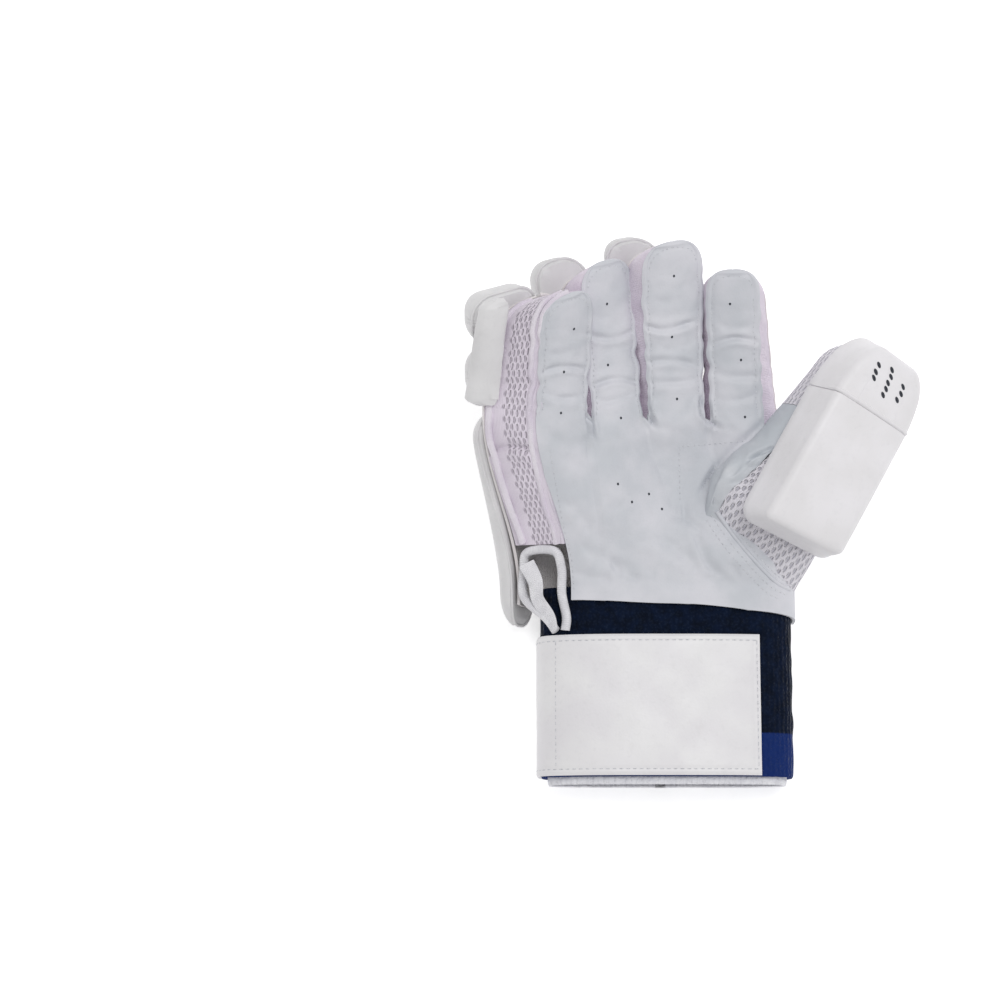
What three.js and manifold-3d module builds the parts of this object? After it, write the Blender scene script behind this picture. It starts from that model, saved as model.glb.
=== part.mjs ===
import * as THREE from 'three';
import { mergeVertices } from 'three/addons/utils/BufferGeometryUtils.js';
import Module from 'manifold-3d';

// Cricket batting glove for the right hand, lying palm up with the thumb to the right.
// Millimetres, +Z up, +Y toward the fingertips.
//
// Every piece of the hand is laid out in a straight local space and then bent into place:
// "along" runs from the knuckle row to the fingertip (negative toward the wrist),
// "across" runs toward the thumb, and "out" rises out of the palm, 0 at the front seams.

// Walls and clearances
const leather = 1.4;
const mesh = 1.2;
const clearance = 0.3;
const seamAllowance = 0.6;

// Hand
const knuckleY = 42;
const palmHeight = 44;
const handLength = 80;
const middleX = -7.9;
const fingerLength = 87;
const fingerWidth = 30;
const fingerDepth = 24;
const tipSlant = 11;
const tipFlare = 0.52;
const knuckleGap = 2.4;
const crown = 2.6;

// Cuff
const cuffWidth = 121;
const cuffHeight = 36;
const cuffLength = 91;
const cuffX = -13;
const cuffSag = 0.8;
const towelling = 3;
const lining = 1.2;
const liningHem = 3.5;
const strapThickness = 1.8;
const strapWidth = 67;
const strapInset = 0.5;
const strapAngles = [54, 286];
const lapEase = 0.5;
const leatherCover = 7;
const heelCover = 9;

// Padding
const rollDepth = 17;
const rollWidth = 28;
const rollCorner = 0.42;
const rollWelt = 0.22;
const rollFoot = 0.28;
const rollRoundness = 0.75;
const sideBarDepth = 12;
const sideBarWidth = 9;
const sideBarSpan = [0.02, 1.12];
const guardDepth = 21;
const guardWidth = 54;
const guardTopWidth = 43;
const guardSeam = 0.8;
const guardShoulder = 0.75;
const guardEdge = 2.5;

// Thumb
const thumbLength = 114;
const thumbTipLength = 18;
const thumbSlant = 0.6;
const thumbSlantReach = 60;
const thumbWidth = 48;
const thumbX = 31;
const thumbY = -24;
const thumbHeight = 34;

// Slit and its tape
const slitStart = 0.76;
const tapeRadius = 1.7;
const tapeLift = 1.8;
const tabWidth = 6;
const tabThickness = 1.2;
const tabTwist = [70, 140];
const tapeAngles = [133, 141];
const tapeBow = 10;
const slitAngle = 150;

const squareness = 3;
const degree = Math.PI / 180;

// Fingers from the little finger to the index finger. Lengths and widths are shares of the
// middle finger's, flares and lifts are in millimetres, angles are in degrees. Cuff angles run
// round the cuff from the thumb side over the top, and give the stretch of cuff that each
// finger's part of the hand meets.
const fingers = [
  {
    name: 'little', length: 0.68, rootWidth: 0.9, width: 1.0, lean: 3, rootRise: 18, tipRise: 44,
    rootRoll: 26, tipRoll: 38, flareLeft: 17, flareRight: 0.3, cuffFlare: 9, lift: 3,
    front: [130, 109], back: [178, 225],
  },
  {
    name: 'ring', length: 0.875, rootWidth: 0.87, width: 0.97, lean: -5, rootRise: 4, tipRise: 31,
    rootRoll: 16, tipRoll: 30, flareLeft: -2, flareRight: 0.5, cuffFlare: 0, lift: 0,
    front: [109, 86], back: [225, 257],
  },
  {
    name: 'middle', length: 1.0, rootWidth: 0.93, width: 1.05, lean: -2.5, rootRise: 8, tipRise: 36,
    rootRoll: 6, tipRoll: 20, flareLeft: 0.5, flareRight: 0.5, cuffFlare: 0, lift: 0,
    front: [86, 60], back: [257, 290],
  },
  {
    name: 'index', length: 0.845, rootWidth: 0.86, width: 0.86, lean: -3, rootRise: 8, tipRise: 36,
    rootRoll: -6, tipRoll: -5, flareLeft: 0.5, flareRight: 7, cuffFlare: 0, lift: 0,
    front: [60, -8], back: [290, 351.4],
  },
];

// Thumb tube: "at" is a share of the thumb's length, the four reaches from its centreline
// are shares of its width.
const thumbSections = [
  { at: -0.17, left: 0.9, right: 0.36, top: 0.04, bottom: 0.3 },
  { at: 0.0, left: 0.83, right: 0.5, top: 0.14, bottom: 0.46 },
  { at: 0.1, left: 0.77, right: 0.5, top: 0.22, bottom: 0.46 },
  { at: 0.25, left: 0.7, right: 0.5, top: 0.3, bottom: 0.42 },
  { at: 0.5, left: 0.57, right: 0.47, top: 0.32, bottom: 0.36 },
  { at: 0.8, left: 0.4, right: 0.42, top: 0.32, bottom: 0.32 },
  { at: 1.0, left: 0.34, right: 0.38, top: 0.32, bottom: 0.3 },
];

const frontColumns = [-1, -0.6, 0, 0.6, 1];
const palmSteps = [1, 0.88, 0.74, 0.6, 0.46, 0.32, 0.18, 0.08];
const straightSteps = [0, 0.33, 0.67, 1];
const tipTurns = [20, 40, 58, 73, 86];
const tipRings = [0.4, 0.7, 0.88, 0.96, 0.993];

function mix(a, b, t) {
  return a + (b - a) * t;
}

// Evenly spaced values from one end to the other, both included.
function spread(from, to, count) {
  return Array.from({ length: count + 1 }, (_, i) => mix(from, to, i / count));
}

function ease(from, to, x) {
  const t = Math.min(Math.max((x - from) / (to - from), 0), 1);
  return t * t * (3 - 2 * t);
}

function power(value, exponent) {
  return Math.sign(value) * Math.abs(value) ** exponent;
}

// Closed bodies from surfaces

function closedGeometry(points, triangles) {
  let volume = 0;
  for (const [a, b, c] of triangles) {
    volume += points[a].dot(new THREE.Vector3().crossVectors(points[b], points[c]));
  }
  const facing = volume > 0 ? triangles : triangles.map(([a, b, c]) => [a, c, b]);
  const geometry = new THREE.BufferGeometry();
  geometry.setAttribute('position', new THREE.Float32BufferAttribute(points.flatMap((p) => p.toArray()), 3));
  geometry.setIndex(facing.flat());
  geometry.computeVertexNormals();
  return geometry;
}

// Gives an open surface of quads a thickness on its inner side and closes its edges.
function sheet(points, quads, thickness) {
  const count = points.length;
  const normals = points.map(() => new THREE.Vector3());
  for (const quad of quads) {
    const [a, b, c, d] = quad.map((i) => points[i]);
    const normal = new THREE.Vector3().crossVectors(c.clone().sub(a), d.clone().sub(b));
    quad.forEach((i) => normals[i].add(normal));
  }
  const inner = points.map((p, i) => p.clone().addScaledVector(normals[i].normalize(), -thickness));
  const edges = new Map();
  for (const quad of quads) {
    quad.forEach((from, k) => {
      const to = quad[(k + 1) % 4];
      if (edges.has(`${to} ${from}`)) {
        edges.delete(`${to} ${from}`);
      } else {
        edges.set(`${from} ${to}`, [from, to]);
      }
    });
  }
  const triangles = [];
  for (const [a, b, c, d] of quads) {
    triangles.push([a, b, c], [a, c, d]);
    triangles.push([count + a, count + c, count + b], [count + a, count + d, count + c]);
  }
  for (const [from, to] of edges.values()) {
    triangles.push([from, count + from, to], [to, count + from, count + to]);
  }
  return closedGeometry([...points, ...inner], triangles);
}

// Quads of a grid of rows. Closed rows join their last point to their first.
function gridQuads(rowCount, columnCount, closed) {
  const quads = [];
  for (let row = 0; row < rowCount - 1; row += 1) {
    for (let column = 0; column < columnCount - (closed ? 0 : 1); column += 1) {
      const next = (column + 1) % columnCount;
      const start = row * columnCount;
      quads.push([start + column, start + next, start + columnCount + next, start + columnCount + column]);
    }
  }
  return quads;
}

// Quads across the last row, between its mirrored points.
function capQuads(rowCount, columnCount) {
  const start = (rowCount - 1) * columnCount;
  const end = start + columnCount - 1;
  const half = columnCount / 2 - 1;
  return Array.from({ length: half }, (_, i) => [start + i, start + i + 1, end - i - 1, end - i]);
}

function gridSheet(rows, thickness, { closed = false, flip = false, capped = false } = {}) {
  const quads = gridQuads(rows.length, rows[0].length, closed);
  if (capped) {
    quads.push(...capQuads(rows.length, rows[0].length));
  }
  return sheet(rows.flat(), flip ? quads.map((quad) => quad.toReversed()) : quads, thickness);
}

// Closed body through a stack of rings. Its end faces run across between mirrored points.
function stack(rings) {
  const count = rings[0].length;
  const points = rings.flat();
  const triangles = [];
  for (const [a, b, c, d] of gridQuads(rings.length, count, true)) {
    triangles.push([a, b, c], [a, c, d]);
  }
  const top = (rings.length - 1) * count;
  for (let i = 0; i < count / 2 - 1; i += 1) {
    const j = count - 1 - i;
    triangles.push([i, j, i + 1], [i + 1, j, j - 1]);
    triangles.push([top + i, top + i + 1, top + j], [top + i + 1, top + j - 1, top + j]);
  }
  return closedGeometry(points, triangles);
}

// Joining and cutting

const kernel = await Module();
kernel.setup();

function solidOf(geometry) {
  const bare = geometry.clone();
  bare.deleteAttribute('normal');
  const merged = mergeVertices(bare, 1e-4);
  return new kernel.Manifold(new kernel.Mesh({
    numProp: 3,
    vertProperties: new Float32Array(merged.attributes.position.array),
    triVerts: new Uint32Array(merged.index.array),
  }));
}

function geometryOf(solid) {
  const result = solid.getMesh();
  const geometry = new THREE.BufferGeometry();
  geometry.setAttribute('position', new THREE.BufferAttribute(new Float32Array(result.vertProperties), 3));
  geometry.setIndex(new THREE.BufferAttribute(new Uint32Array(result.triVerts), 1));
  geometry.computeVertexNormals();
  return geometry;
}

// What is left of a piece after a cut, without the offcuts.
function cut(geometry, ...cutters) {
  const rest = cutters.reduce((solid, cutter) => solid.subtract(cutter), solidOf(geometry));
  const parts = rest.decompose();
  return geometryOf(parts.reduce((best, part) => (part.volume() > best.volume() ? part : best)));
}

// Cuff section: a squared oval, flat where the glove rests

const cuffTopY = knuckleY - handLength;
const skinGrow = clearance + lapEase + leather;
const cuffFloor = Math.max(strapThickness + clearance, skinGrow) + clearance;
const cuffCentreZ = cuffFloor + cuffHeight / 2;

function cuffPoint(angle, grow, y = cuffTopY, floor = cuffFloor - grow) {
  const cos = power(Math.cos(angle * degree), 2 / squareness);
  const sin = power(Math.sin(angle * degree), 2 / squareness);
  const x = cuffX + (cuffWidth / 2 + grow) * cos;
  const z = cuffCentreZ + (cuffHeight / 2 + grow + cuffSag) * sin;
  return new THREE.Vector3(x, y, Math.max(z, floor));
}

function cuffNormal(angle) {
  const cos = power(Math.cos(angle * degree), 2 - 2 / squareness);
  const sin = power(Math.sin(angle * degree), 2 - 2 / squareness);
  return new THREE.Vector3(cos / cuffWidth, 0, sin / cuffHeight).normalize();
}

// Knuckle row: each finger's seam stands one knuckle gap from its neighbour's

for (const finger of fingers) {
  finger.reach = finger.length * fingerLength;
  finger.half = finger.width * fingerWidth / 2;
  finger.rootHalf = finger.rootWidth * fingerWidth / 2;
}

function seamStep(finger) {
  const roll = finger.rootRoll * degree;
  return { x: finger.rootHalf * Math.cos(roll), z: finger.rootHalf * Math.sin(roll) };
}

const middle = fingers.findIndex((finger) => finger.name === 'middle');
fingers[middle].x = middleX;
fingers[middle].z = palmHeight;
for (let i = middle - 1; i >= 0; i -= 1) {
  const [own, next] = [seamStep(fingers[i]), seamStep(fingers[i + 1])];
  fingers[i].x = fingers[i + 1].x - next.x - knuckleGap - own.x;
  fingers[i].z = fingers[i + 1].z + next.z + own.z + fingers[i].lift;
}
for (let i = middle + 1; i < fingers.length; i += 1) {
  const [own, next] = [seamStep(fingers[i]), seamStep(fingers[i - 1])];
  fingers[i].x = fingers[i - 1].x + next.x + knuckleGap + own.x;
  fingers[i].z = fingers[i - 1].z - next.z - own.z;
}
for (const finger of fingers) {
  finger.y = knuckleY;
}
const [little, , , index] = fingers;

// Bends a point of the straight finger along its curled centreline.
function bend(part, along, across, out) {
  const root = part.rootRise * degree;
  const turn = (part.tipRise - part.rootRise) * degree / part.reach;
  const rise = root + turn * along;
  const ahead = (Math.sin(rise) - Math.sin(root)) / turn;
  const up = (Math.cos(root) - Math.cos(rise)) / turn;
  const roll = mix(part.rootRoll, part.tipRoll, Math.max(along, 0) / part.reach) * degree;
  const lean = part.lean * degree;
  const forward = new THREE.Vector3(Math.sin(lean), Math.cos(lean), 0);
  const side = new THREE.Vector3(Math.cos(lean), -Math.sin(lean), 0);
  const normal = forward.clone().multiplyScalar(-Math.sin(rise));
  normal.z += Math.cos(rise);
  const rolledSide = side.clone().multiplyScalar(Math.cos(roll)).addScaledVector(normal, -Math.sin(roll));
  const rolledNormal = normal.clone().multiplyScalar(Math.cos(roll)).addScaledVector(side, Math.sin(roll));
  return new THREE.Vector3(part.x, part.y, part.z)
    .addScaledVector(forward, ahead)
    .addScaledVector(new THREE.Vector3(0, 0, 1), up)
    .addScaledVector(rolledSide, across)
    .addScaledVector(rolledNormal, out);
}

// Distance of a finger's side from its middle line. Depth 0 is the front seam, 1 the back seam.
function sideReach(finger, side, step, depth) {
  const flare = side < 0 ? finger.flareLeft : finger.flareRight;
  const onFinger = Math.max(step, 0);
  return mix(finger.rootHalf, finger.half, ease(0, 1, onFinger)) + depth * flare * mix(1, tipFlare, onFinger);
}

// Where a finger's part of the hand meets the cuff.
function atCuff(finger, across, out) {
  const depth = Math.min(Math.max(-out / fingerDepth, 0), 1);
  const share = (across / sideReach(finger, across, 0, depth) + 1) / 2;
  const frontAngle = mix(finger.front[0] - 1, finger.front[1] + 1, share);
  const backAngle = mix(finger.back[0] + 1, finger.back[1] - 1, share);
  const front = cuffPoint(frontAngle, skinGrow).addScaledVector(cuffNormal(frontAngle), Math.max(out, 0));
  const below = Math.max(-out - fingerDepth, 0) + finger.cuffFlare * (1 - share);
  const back = cuffPoint(backAngle, skinGrow).addScaledVector(cuffNormal(backAngle), below);
  return front.lerp(back, depth);
}

// Soft rises and the hollow of the palm. "across" is a share of the cuff's width from its
// middle, "behind" and "size" are shares of the hand's length, "height" is a share of the
// highest one.
const moundHeight = 5;
const mounds = [
  { across: 0.32, behind: 0.72, height: 1, size: 0.32 },
  { across: -0.29, behind: 0.5, height: 0.6, size: 0.3 },
  { across: 0.04, behind: 0.3, height: -0.8, size: 0.28 },
];

function mound(point) {
  return mounds.reduce((sum, { across, behind, height, size }) => {
    const aside = point.x - cuffX - across * cuffWidth;
    const away = point.y - knuckleY + behind * handLength;
    return sum + height * moundHeight * Math.exp(-(aside ** 2 + away ** 2) / (size * handLength) ** 2);
  }, 0);
}

// Places a point of a finger or of the hand behind it.
function place(finger, along, across, out) {
  if (along >= 0) {
    return bend(finger, along, across, out);
  }
  const knuckle = bend(finger, 0, across, out);
  const cuff = atCuff(finger, across, out);
  if (along < -handLength) {
    return cuff.setY(cuffTopY + along + handLength);
  }
  const t = -along / handLength;
  const reach = knuckle.distanceTo(cuff);
  const start = bend(finger, -1, across, out).sub(knuckle).setLength(reach);
  const end = new THREE.Vector3(0, -reach, 0);
  const point = knuckle.multiplyScalar((1 + 2 * t) * (1 - t) ** 2)
    .addScaledVector(start, t * (1 - t) ** 2)
    .addScaledVector(cuff, t * t * (3 - 2 * t))
    .addScaledVector(end, t * t * (t - 1));
  const depth = Math.min(Math.max(-out / fingerDepth, 0), 1);
  const fade = (1 - depth) * ease(0, 0.2, t) * ease(1, 0.85, t);
  point.z += mound(point) * fade;
  return point;
}

// Outline of a finger: straight from the knuckle, then round the tip

const palmStations = palmSteps.map((step) => ({ step: -step, turn: 0 }));
const straightStations = straightSteps.map((step) => ({ step, turn: 0 }));
const tipStations = tipTurns.map((turn) => ({ step: 1, turn }));
const fingerStations = [...straightStations, ...tipStations];

const tipRoundness = 2.5;

// Point of a side seam, "inset" short of the seam's line. The back seam ends nearer the
// knuckle than the front one, because the fingertip hangs over.
function seamPoint(finger, side, { step, turn }, depth, inset = 0) {
  const reach = side * (sideReach(finger, side, step, depth) - inset);
  if (step < 0) {
    return { along: step * handLength, across: reach };
  }
  const straight = finger.reach - finger.half - depth * tipSlant;
  const rounding = (finger.half - inset) * power(Math.sin(turn * degree), 2 / tipRoundness);
  const closing = power(Math.cos(turn * degree), 2 / tipRoundness);
  return { along: straight * step + rounding, across: reach * closing };
}

function frontPoint(finger, station, column, lift = 0) {
  const { along, across } = seamPoint(finger, column < 0 ? -1 : 1, station, 0);
  const fade = station.step < 0 ? ease(0.5, 0, -station.step) : 1;
  const tipDrop = Math.cos(station.turn * degree) ** 0.6;
  const bulge = crown * fade * tipDrop * (1 - Math.abs(column) ** 2.4);
  return place(finger, along, Math.abs(column) * across, bulge + lift);
}

function backPoint(finger, station, column, lift = 0) {
  const { along, across } = seamPoint(finger, column < 0 ? -1 : 1, station, 1);
  return place(finger, along, Math.abs(column) * across, -fingerDepth - lift);
}

// One sheet over the hand and its four fingers, joined across the knuckle gaps below the fingers.
function handSheet(pointAt, endRow, facing) {
  const columns = frontColumns.length;
  const rows = [...palmStations, ...fingerStations];
  const knuckleRow = palmStations.length;
  const points = [];
  for (const finger of fingers) {
    for (const column of frontColumns) {
      points.push(endRow(finger, column));
    }
  }
  for (const station of rows) {
    for (const finger of fingers) {
      for (const column of frontColumns) {
        points.push(pointAt(finger, station, column));
      }
    }
  }
  const width = columns * fingers.length;
  const quads = [];
  for (let row = 0; row < rows.length; row += 1) {
    for (let column = 0; column < width - 1; column += 1) {
      const betweenFingers = (column + 1) % columns === 0;
      if (!betweenFingers || row <= knuckleRow) {
        const start = row * width + column;
        quads.push([start, start + 1, start + width + 1, start + width]);
      }
    }
  }
  return sheet(points, facing > 0 ? quads : quads.map((quad) => quad.toReversed()), leather);
}

// The leather laps over the cuff, further at the heel of the thumb.
function lap(finger, column) {
  const share = (fingers.indexOf(finger) + (column + 1) / 2) / fingers.length;
  return handLength + leatherCover + heelCover * share * share;
}

// Stretch of side wall between the front and back seams. The path lists the wall's stations
// with the finger that each is on and the side it is on.
function sideWall(path, bulge) {
  return [0, 0.5, 1].map((height) => path.map(({ finger, station, side }) => {
    const front = seamPoint(finger, side, station, 0, seamAllowance);
    const back = seamPoint(finger, side, station, 1, seamAllowance);
    const swell = side * bulge * Math.sin(Math.PI * height) * Math.cos(station.turn * degree);
    const across = mix(front.across, back.across, height) + swell;
    const tuck = (leather + clearance * 3) * (1 + Math.max(-station.step, 0));
    return place(finger, mix(front.along, back.along, height), across, mix(-tuck, tuck - fingerDepth, height));
  }));
}

function wallPath(finger, side, stations) {
  return stations.map((station) => ({ finger, side, station }));
}

const wallStations = [...fingerStations, { step: 1, turn: 89.2 }];

function fourchette(from, to) {
  const down = wallPath(from, 1, wallStations.toReversed());
  const up = wallPath(to, -1, wallStations);
  return gridSheet(sideWall([...down, ...up], 0.4), mesh);
}

function palmStretch(from, to, count) {
  return spread(from, to, count).map((step) => ({ step: -step, turn: 0 }));
}

// Padded pieces: a rounded outline stacked in levels, then bent into place

// Right-hand half of a rounded oblong, from its lower end to its upper end.
function oblongSide(halfLength, halfWidth, lowerRadius, upperRadius) {
  const corner = [0, 30, 60, 90];
  const lower = corner.map((angle) => [
    -halfLength + lowerRadius * (1 - Math.cos(angle * degree)),
    halfWidth - lowerRadius * (1 - Math.sin(angle * degree)),
  ]);
  const upper = corner.map((angle) => [
    halfLength - upperRadius * (1 - Math.sin(angle * degree)),
    halfWidth - upperRadius * (1 - Math.cos(angle * degree)),
  ]);
  const [start, end] = [lower.at(-1)[0], upper[0][0]];
  const straight = [1, 2].map((step) => [mix(start, end, step / 3), halfWidth]);
  return [...lower, ...straight, ...upper];
}

// Levels hold the rise of each ring above the base and its inset from the outline.
function cushion(map, { length, width, lowerRadius, upperRadius }, levels) {
  return stack(levels.map(({ rise, inset }) => {
    const radius = (size) => Math.max(size - inset, 1);
    const right = oblongSide(length / 2 - inset, width / 2 - inset, radius(lowerRadius), radius(upperRadius));
    const left = right.toReversed().map(([along, across]) => [along, -across]);
    return [...right, ...left].map(([along, across]) => map(along, across, rise));
  }));
}

// Half-round levels of a padded roll.
function rollLevels(depth, width) {
  const turns = [14, 38, 60, 77];
  const edge = depth * rollWelt;
  const upper = turns.map((turn) => ({
    rise: mix(edge, depth, Math.sin(turn * degree)),
    inset: width / 2 * (1 - power(Math.cos(turn * degree), rollRoundness)),
  }));
  const foot = [{ rise: 0, inset: width * rollFoot }, { rise: 0, inset: 1.2 }, { rise: edge * 0.6, inset: 0 }];
  return [...foot, ...upper];
}

function rest(point) {
  return point.setZ(Math.max(point.z, 0));
}

const rollSeat = fingerDepth + clearance;
const cuffThinning = 0.5;

// Rolls: "from" and "to" are shares of the back's reach along the finger, or of the hand's
// length where they are negative. The shifts move the roll's two ends toward the outer side,
// and "room" is the extra space under it where the back curves.
const rollTable = [
  { finger: 'little', part: 'tip', from: 0.58, to: 1.1, widen: 8, rootShift: 18, tipShift: 18, room: 0.1 },
  { finger: 'little', part: 'middle', from: 0.02, to: 0.54, widen: 8, rootShift: 18, tipShift: 18, room: 0.1 },
  { finger: 'ring', part: 'tip', from: 0.58, to: 1.13, widen: 2, rootShift: 4, tipShift: 11, room: 0.1 },
  { finger: 'ring', part: 'middle', from: 0.04, to: 0.55, widen: 0, rootShift: 2, tipShift: 3, room: 0.1 },
  { finger: 'middle', part: 'tip', from: 0.56, to: 1.07, widen: 0, rootShift: 0, tipShift: 12, room: 0.1 },
  { finger: 'middle', part: 'middle', from: 0.04, to: 0.53, widen: 0, rootShift: 0, tipShift: 0, room: 0.1 },
  { finger: 'index', part: 'tip', from: 0.56, to: 1.02, widen: 0, rootShift: 0, tipShift: 0, room: 0.1 },
  { finger: 'index', part: 'middle', from: 0.04, to: 0.53, widen: 0, rootShift: -1, tipShift: 0, room: 0.1 },
  { finger: 'little', part: 'hand', from: -1.2, to: -0.03, widen: 6, rootShift: 16, tipShift: 16, room: 1.3 },
  { finger: 'ring', part: 'hand', from: -0.5, to: -0.02, widen: -1, rootShift: 0, tipShift: 0, room: 0.6 },
  { finger: 'middle', part: 'hand', from: -0.5, to: -0.02, widen: 0, rootShift: 0, tipShift: 0, room: 0.1 },
  { finger: 'index', part: 'hand', from: -0.5, to: -0.02, widen: 0, rootShift: 0, tipShift: 0, room: 0.1 },
];

function rollGeometry({ finger: name, from, to, widen, rootShift, tipShift, room }) {
  const finger = fingers.find((entry) => entry.name === name);
  const unit = from < 0 ? handLength : finger.reach - tipSlant;
  const middleAlong = (from + to) / 2 * unit;
  const width = rollWidth + widen;
  const length = (to - from) * unit;
  const smaller = Math.min(width, length);
  const shape = { length, width, lowerRadius: smaller * rollCorner, upperRadius: smaller * rollCorner };
  const map = (dx, across, rise) => {
    const along = middleAlong + dx;
    const thinning = 1 + Math.min(along, 0) / handLength * cuffThinning;
    const shift = mix(rootShift, tipShift, dx / length + 0.5);
    return rest(place(finger, along, across - shift, -rollSeat - room - rise * thinning));
  };
  return cushion(map, shape, rollLevels(rollDepth, smaller));
}

// Bar along the outer side of the little finger, on the overhang of its rolls.
function sideBarGeometry() {
  const [from, to] = sideBarSpan;
  const reach = little.reach - tipSlant;
  const radius = sideBarWidth * rollCorner;
  const shape = { length: (to - from) * reach, width: sideBarWidth, lowerRadius: radius, upperRadius: radius };
  const map = (dx, across, rise) => {
    const along = (from + to) / 2 * reach + dx;
    const depth = 1 - (across + sideBarWidth / 2) / fingerDepth;
    const seat = sideReach(little, -1, along / reach, depth) + clearance * 5;
    return place(little, along, -seat - rise, -fingerDepth * depth);
  };
  return cushion(map, shape, rollLevels(sideBarDepth, sideBarWidth));
}

// Thumb tube

const thumb = {
  x: thumbX, y: thumbY, z: thumbHeight, reach: thumbLength, lean: 28, rootRise: 14, tipRise: -4,
  rootRoll: 22, tipRoll: 27,
};

function thumbReach(at, key) {
  const last = thumbSections.length - 1;
  let i = thumbSections.findIndex((row) => row.at > at) - 1;
  i = i < 0 ? last - 1 : i;
  const rows = [-1, 0, 1, 2].map((k) => thumbSections[Math.min(Math.max(i + k, 0), last)]);
  const t = Math.min((at - rows[1].at) / (rows[2].at - rows[1].at), 1);
  const slope = (a, b) => (b[key] - a[key]) / (b.at - a.at) * (rows[2].at - rows[1].at);
  const [m1, m2] = [slope(rows[0] === rows[1] ? rows[1] : rows[0], rows[2]), slope(rows[1], rows[3])];
  const value = rows[1][key] * (1 + 2 * t) * (1 - t) ** 2 + m1 * t * (1 - t) ** 2
    + rows[2][key] * t * t * (3 - 2 * t) + m2 * t * t * (t - 1);
  return value * thumbWidth;
}

function thumbPoint(along, angle, grow = 0) {
  const at = along / thumbLength;
  const past = Math.max((along - thumbLength + thumbTipLength) / (thumbTipLength + grow), 0);
  const close = (1 - Math.min(past, 1) ** 2.4) ** (1 / 2.4);
  const cos = power(Math.cos(angle * degree), 2 / squareness);
  const sin = power(Math.sin(angle * degree), 2 / squareness);
  const across = cos * (thumbReach(at, cos > 0 ? 'right' : 'left') + grow) * close;
  const out = sin * (thumbReach(at, sin > 0 ? 'top' : 'bottom') + grow) * close;
  const slant = thumbSlant * across * ease(thumbSlantReach, 0, along);
  return bend(thumb, along - slant, across, out);
}

const thumbRoot = -0.16 * thumbLength;
const thumbLeatherEnd = 0.62 * thumbLength;
const seamAngle = 2;
const innerSeam = 137;
const outerSeam = 244;

// The capped sheet is the closed tip, the others are strips of the tube.
function thumbSheet(rows, from, to, count, capped = false) {
  const ring = capped ? spread(from, to, count).slice(0, -1) : spread(from, to, count);
  const surface = rows.map((along) => ring.map((angle) => thumbPoint(along, angle)));
  return gridSheet(surface, mesh, { closed: capped, flip: true, capped });
}

function thumbBody(from, to, grow) {
  const rings = spread(from, to, 10).map((along) => {
    const ring = spread(-90, 270, 28).slice(0, -1);
    return ring.map((angle) => thumbPoint(along, angle, grow));
  });
  return stack(rings);
}

// Outer envelope of the hand behind the knuckles, which the thumb's cloth is cut to.
function handBody(grow) {
  const stations = [{ step: -1.3, turn: 0 }, ...palmStations, { step: 0, turn: 0 }, { step: 0.2, turn: 0 }];
  const around = (pointAt, station) => fingers.flatMap((finger) => {
    return frontColumns.map((column) => pointAt(finger, station, column, grow));
  });
  return stack(stations.map((station) => {
    return [...around(frontPoint, station), ...around(backPoint, station).toReversed()];
  }));
}

const hand = solidOf(handBody(clearance));
const thumbHollow = solidOf(thumbBody(thumbRoot, thumbLength * 0.9, -mesh));

// Thumb guard: two hard-padded sections over the nail side

const guardFrom = 0.12 * thumbLength;
const guardSplit = 0.7 * thumbLength;
const guardTo = 0.99 * thumbLength;
const guardTaper = 0.8;

function guardGeometry(from, to, lowerRadius, upperRadius) {
  const seat = Math.max(...thumbSections.map((row) => row.top)) * thumbWidth + clearance * 2;
  const slope = (guardWidth - guardTopWidth) / 2;
  const levels = [
    { rise: 0, inset: guardEdge / 3 },
    { rise: guardEdge / 2, inset: 0 },
    { rise: guardDepth * guardShoulder, inset: slope * guardShoulder },
    { rise: guardDepth - guardEdge / 2, inset: slope },
    { rise: guardDepth, inset: slope + guardEdge },
  ];
  const middleAlong = (from + to) / 2;
  const map = (dx, across, rise) => {
    const along = middleAlong + dx;
    const taper = mix(1, guardTaper, ease(guardSplit, guardTo, along));
    return bend(thumb, along, across * taper, seat + rise);
  };
  return cushion(map, { length: to - from, width: guardWidth, lowerRadius, upperRadius }, levels);
}

// Cuff pieces

function cuffTube(fromY, toY, grow, thickness) {
  const ring = spread(0, 360, 36).slice(0, -1);
  const rows = [fromY, toY].map((y) => ring.map((angle) => cuffPoint(angle, grow, y)));
  return gridSheet(rows, thickness, { closed: true });
}

const cuffEndY = cuffTopY - cuffLength;
const strapTopY = cuffEndY + strapInset + strapWidth;

function strapGeometry() {
  const grow = clearance + strapThickness;
  const ring = spread(...strapAngles, 30);
  const rows = [strapTopY, cuffEndY + strapInset].map((y) => ring.map((angle) => cuffPoint(angle, grow, y, 0)));
  return gridSheet(rows, strapThickness);
}

// Slit tape and pull tab

function slitEdge(depth, share) {
  return place(little, -share * handLength, -sideReach(little, -1, 0, depth), -fingerDepth * depth);
}

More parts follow.
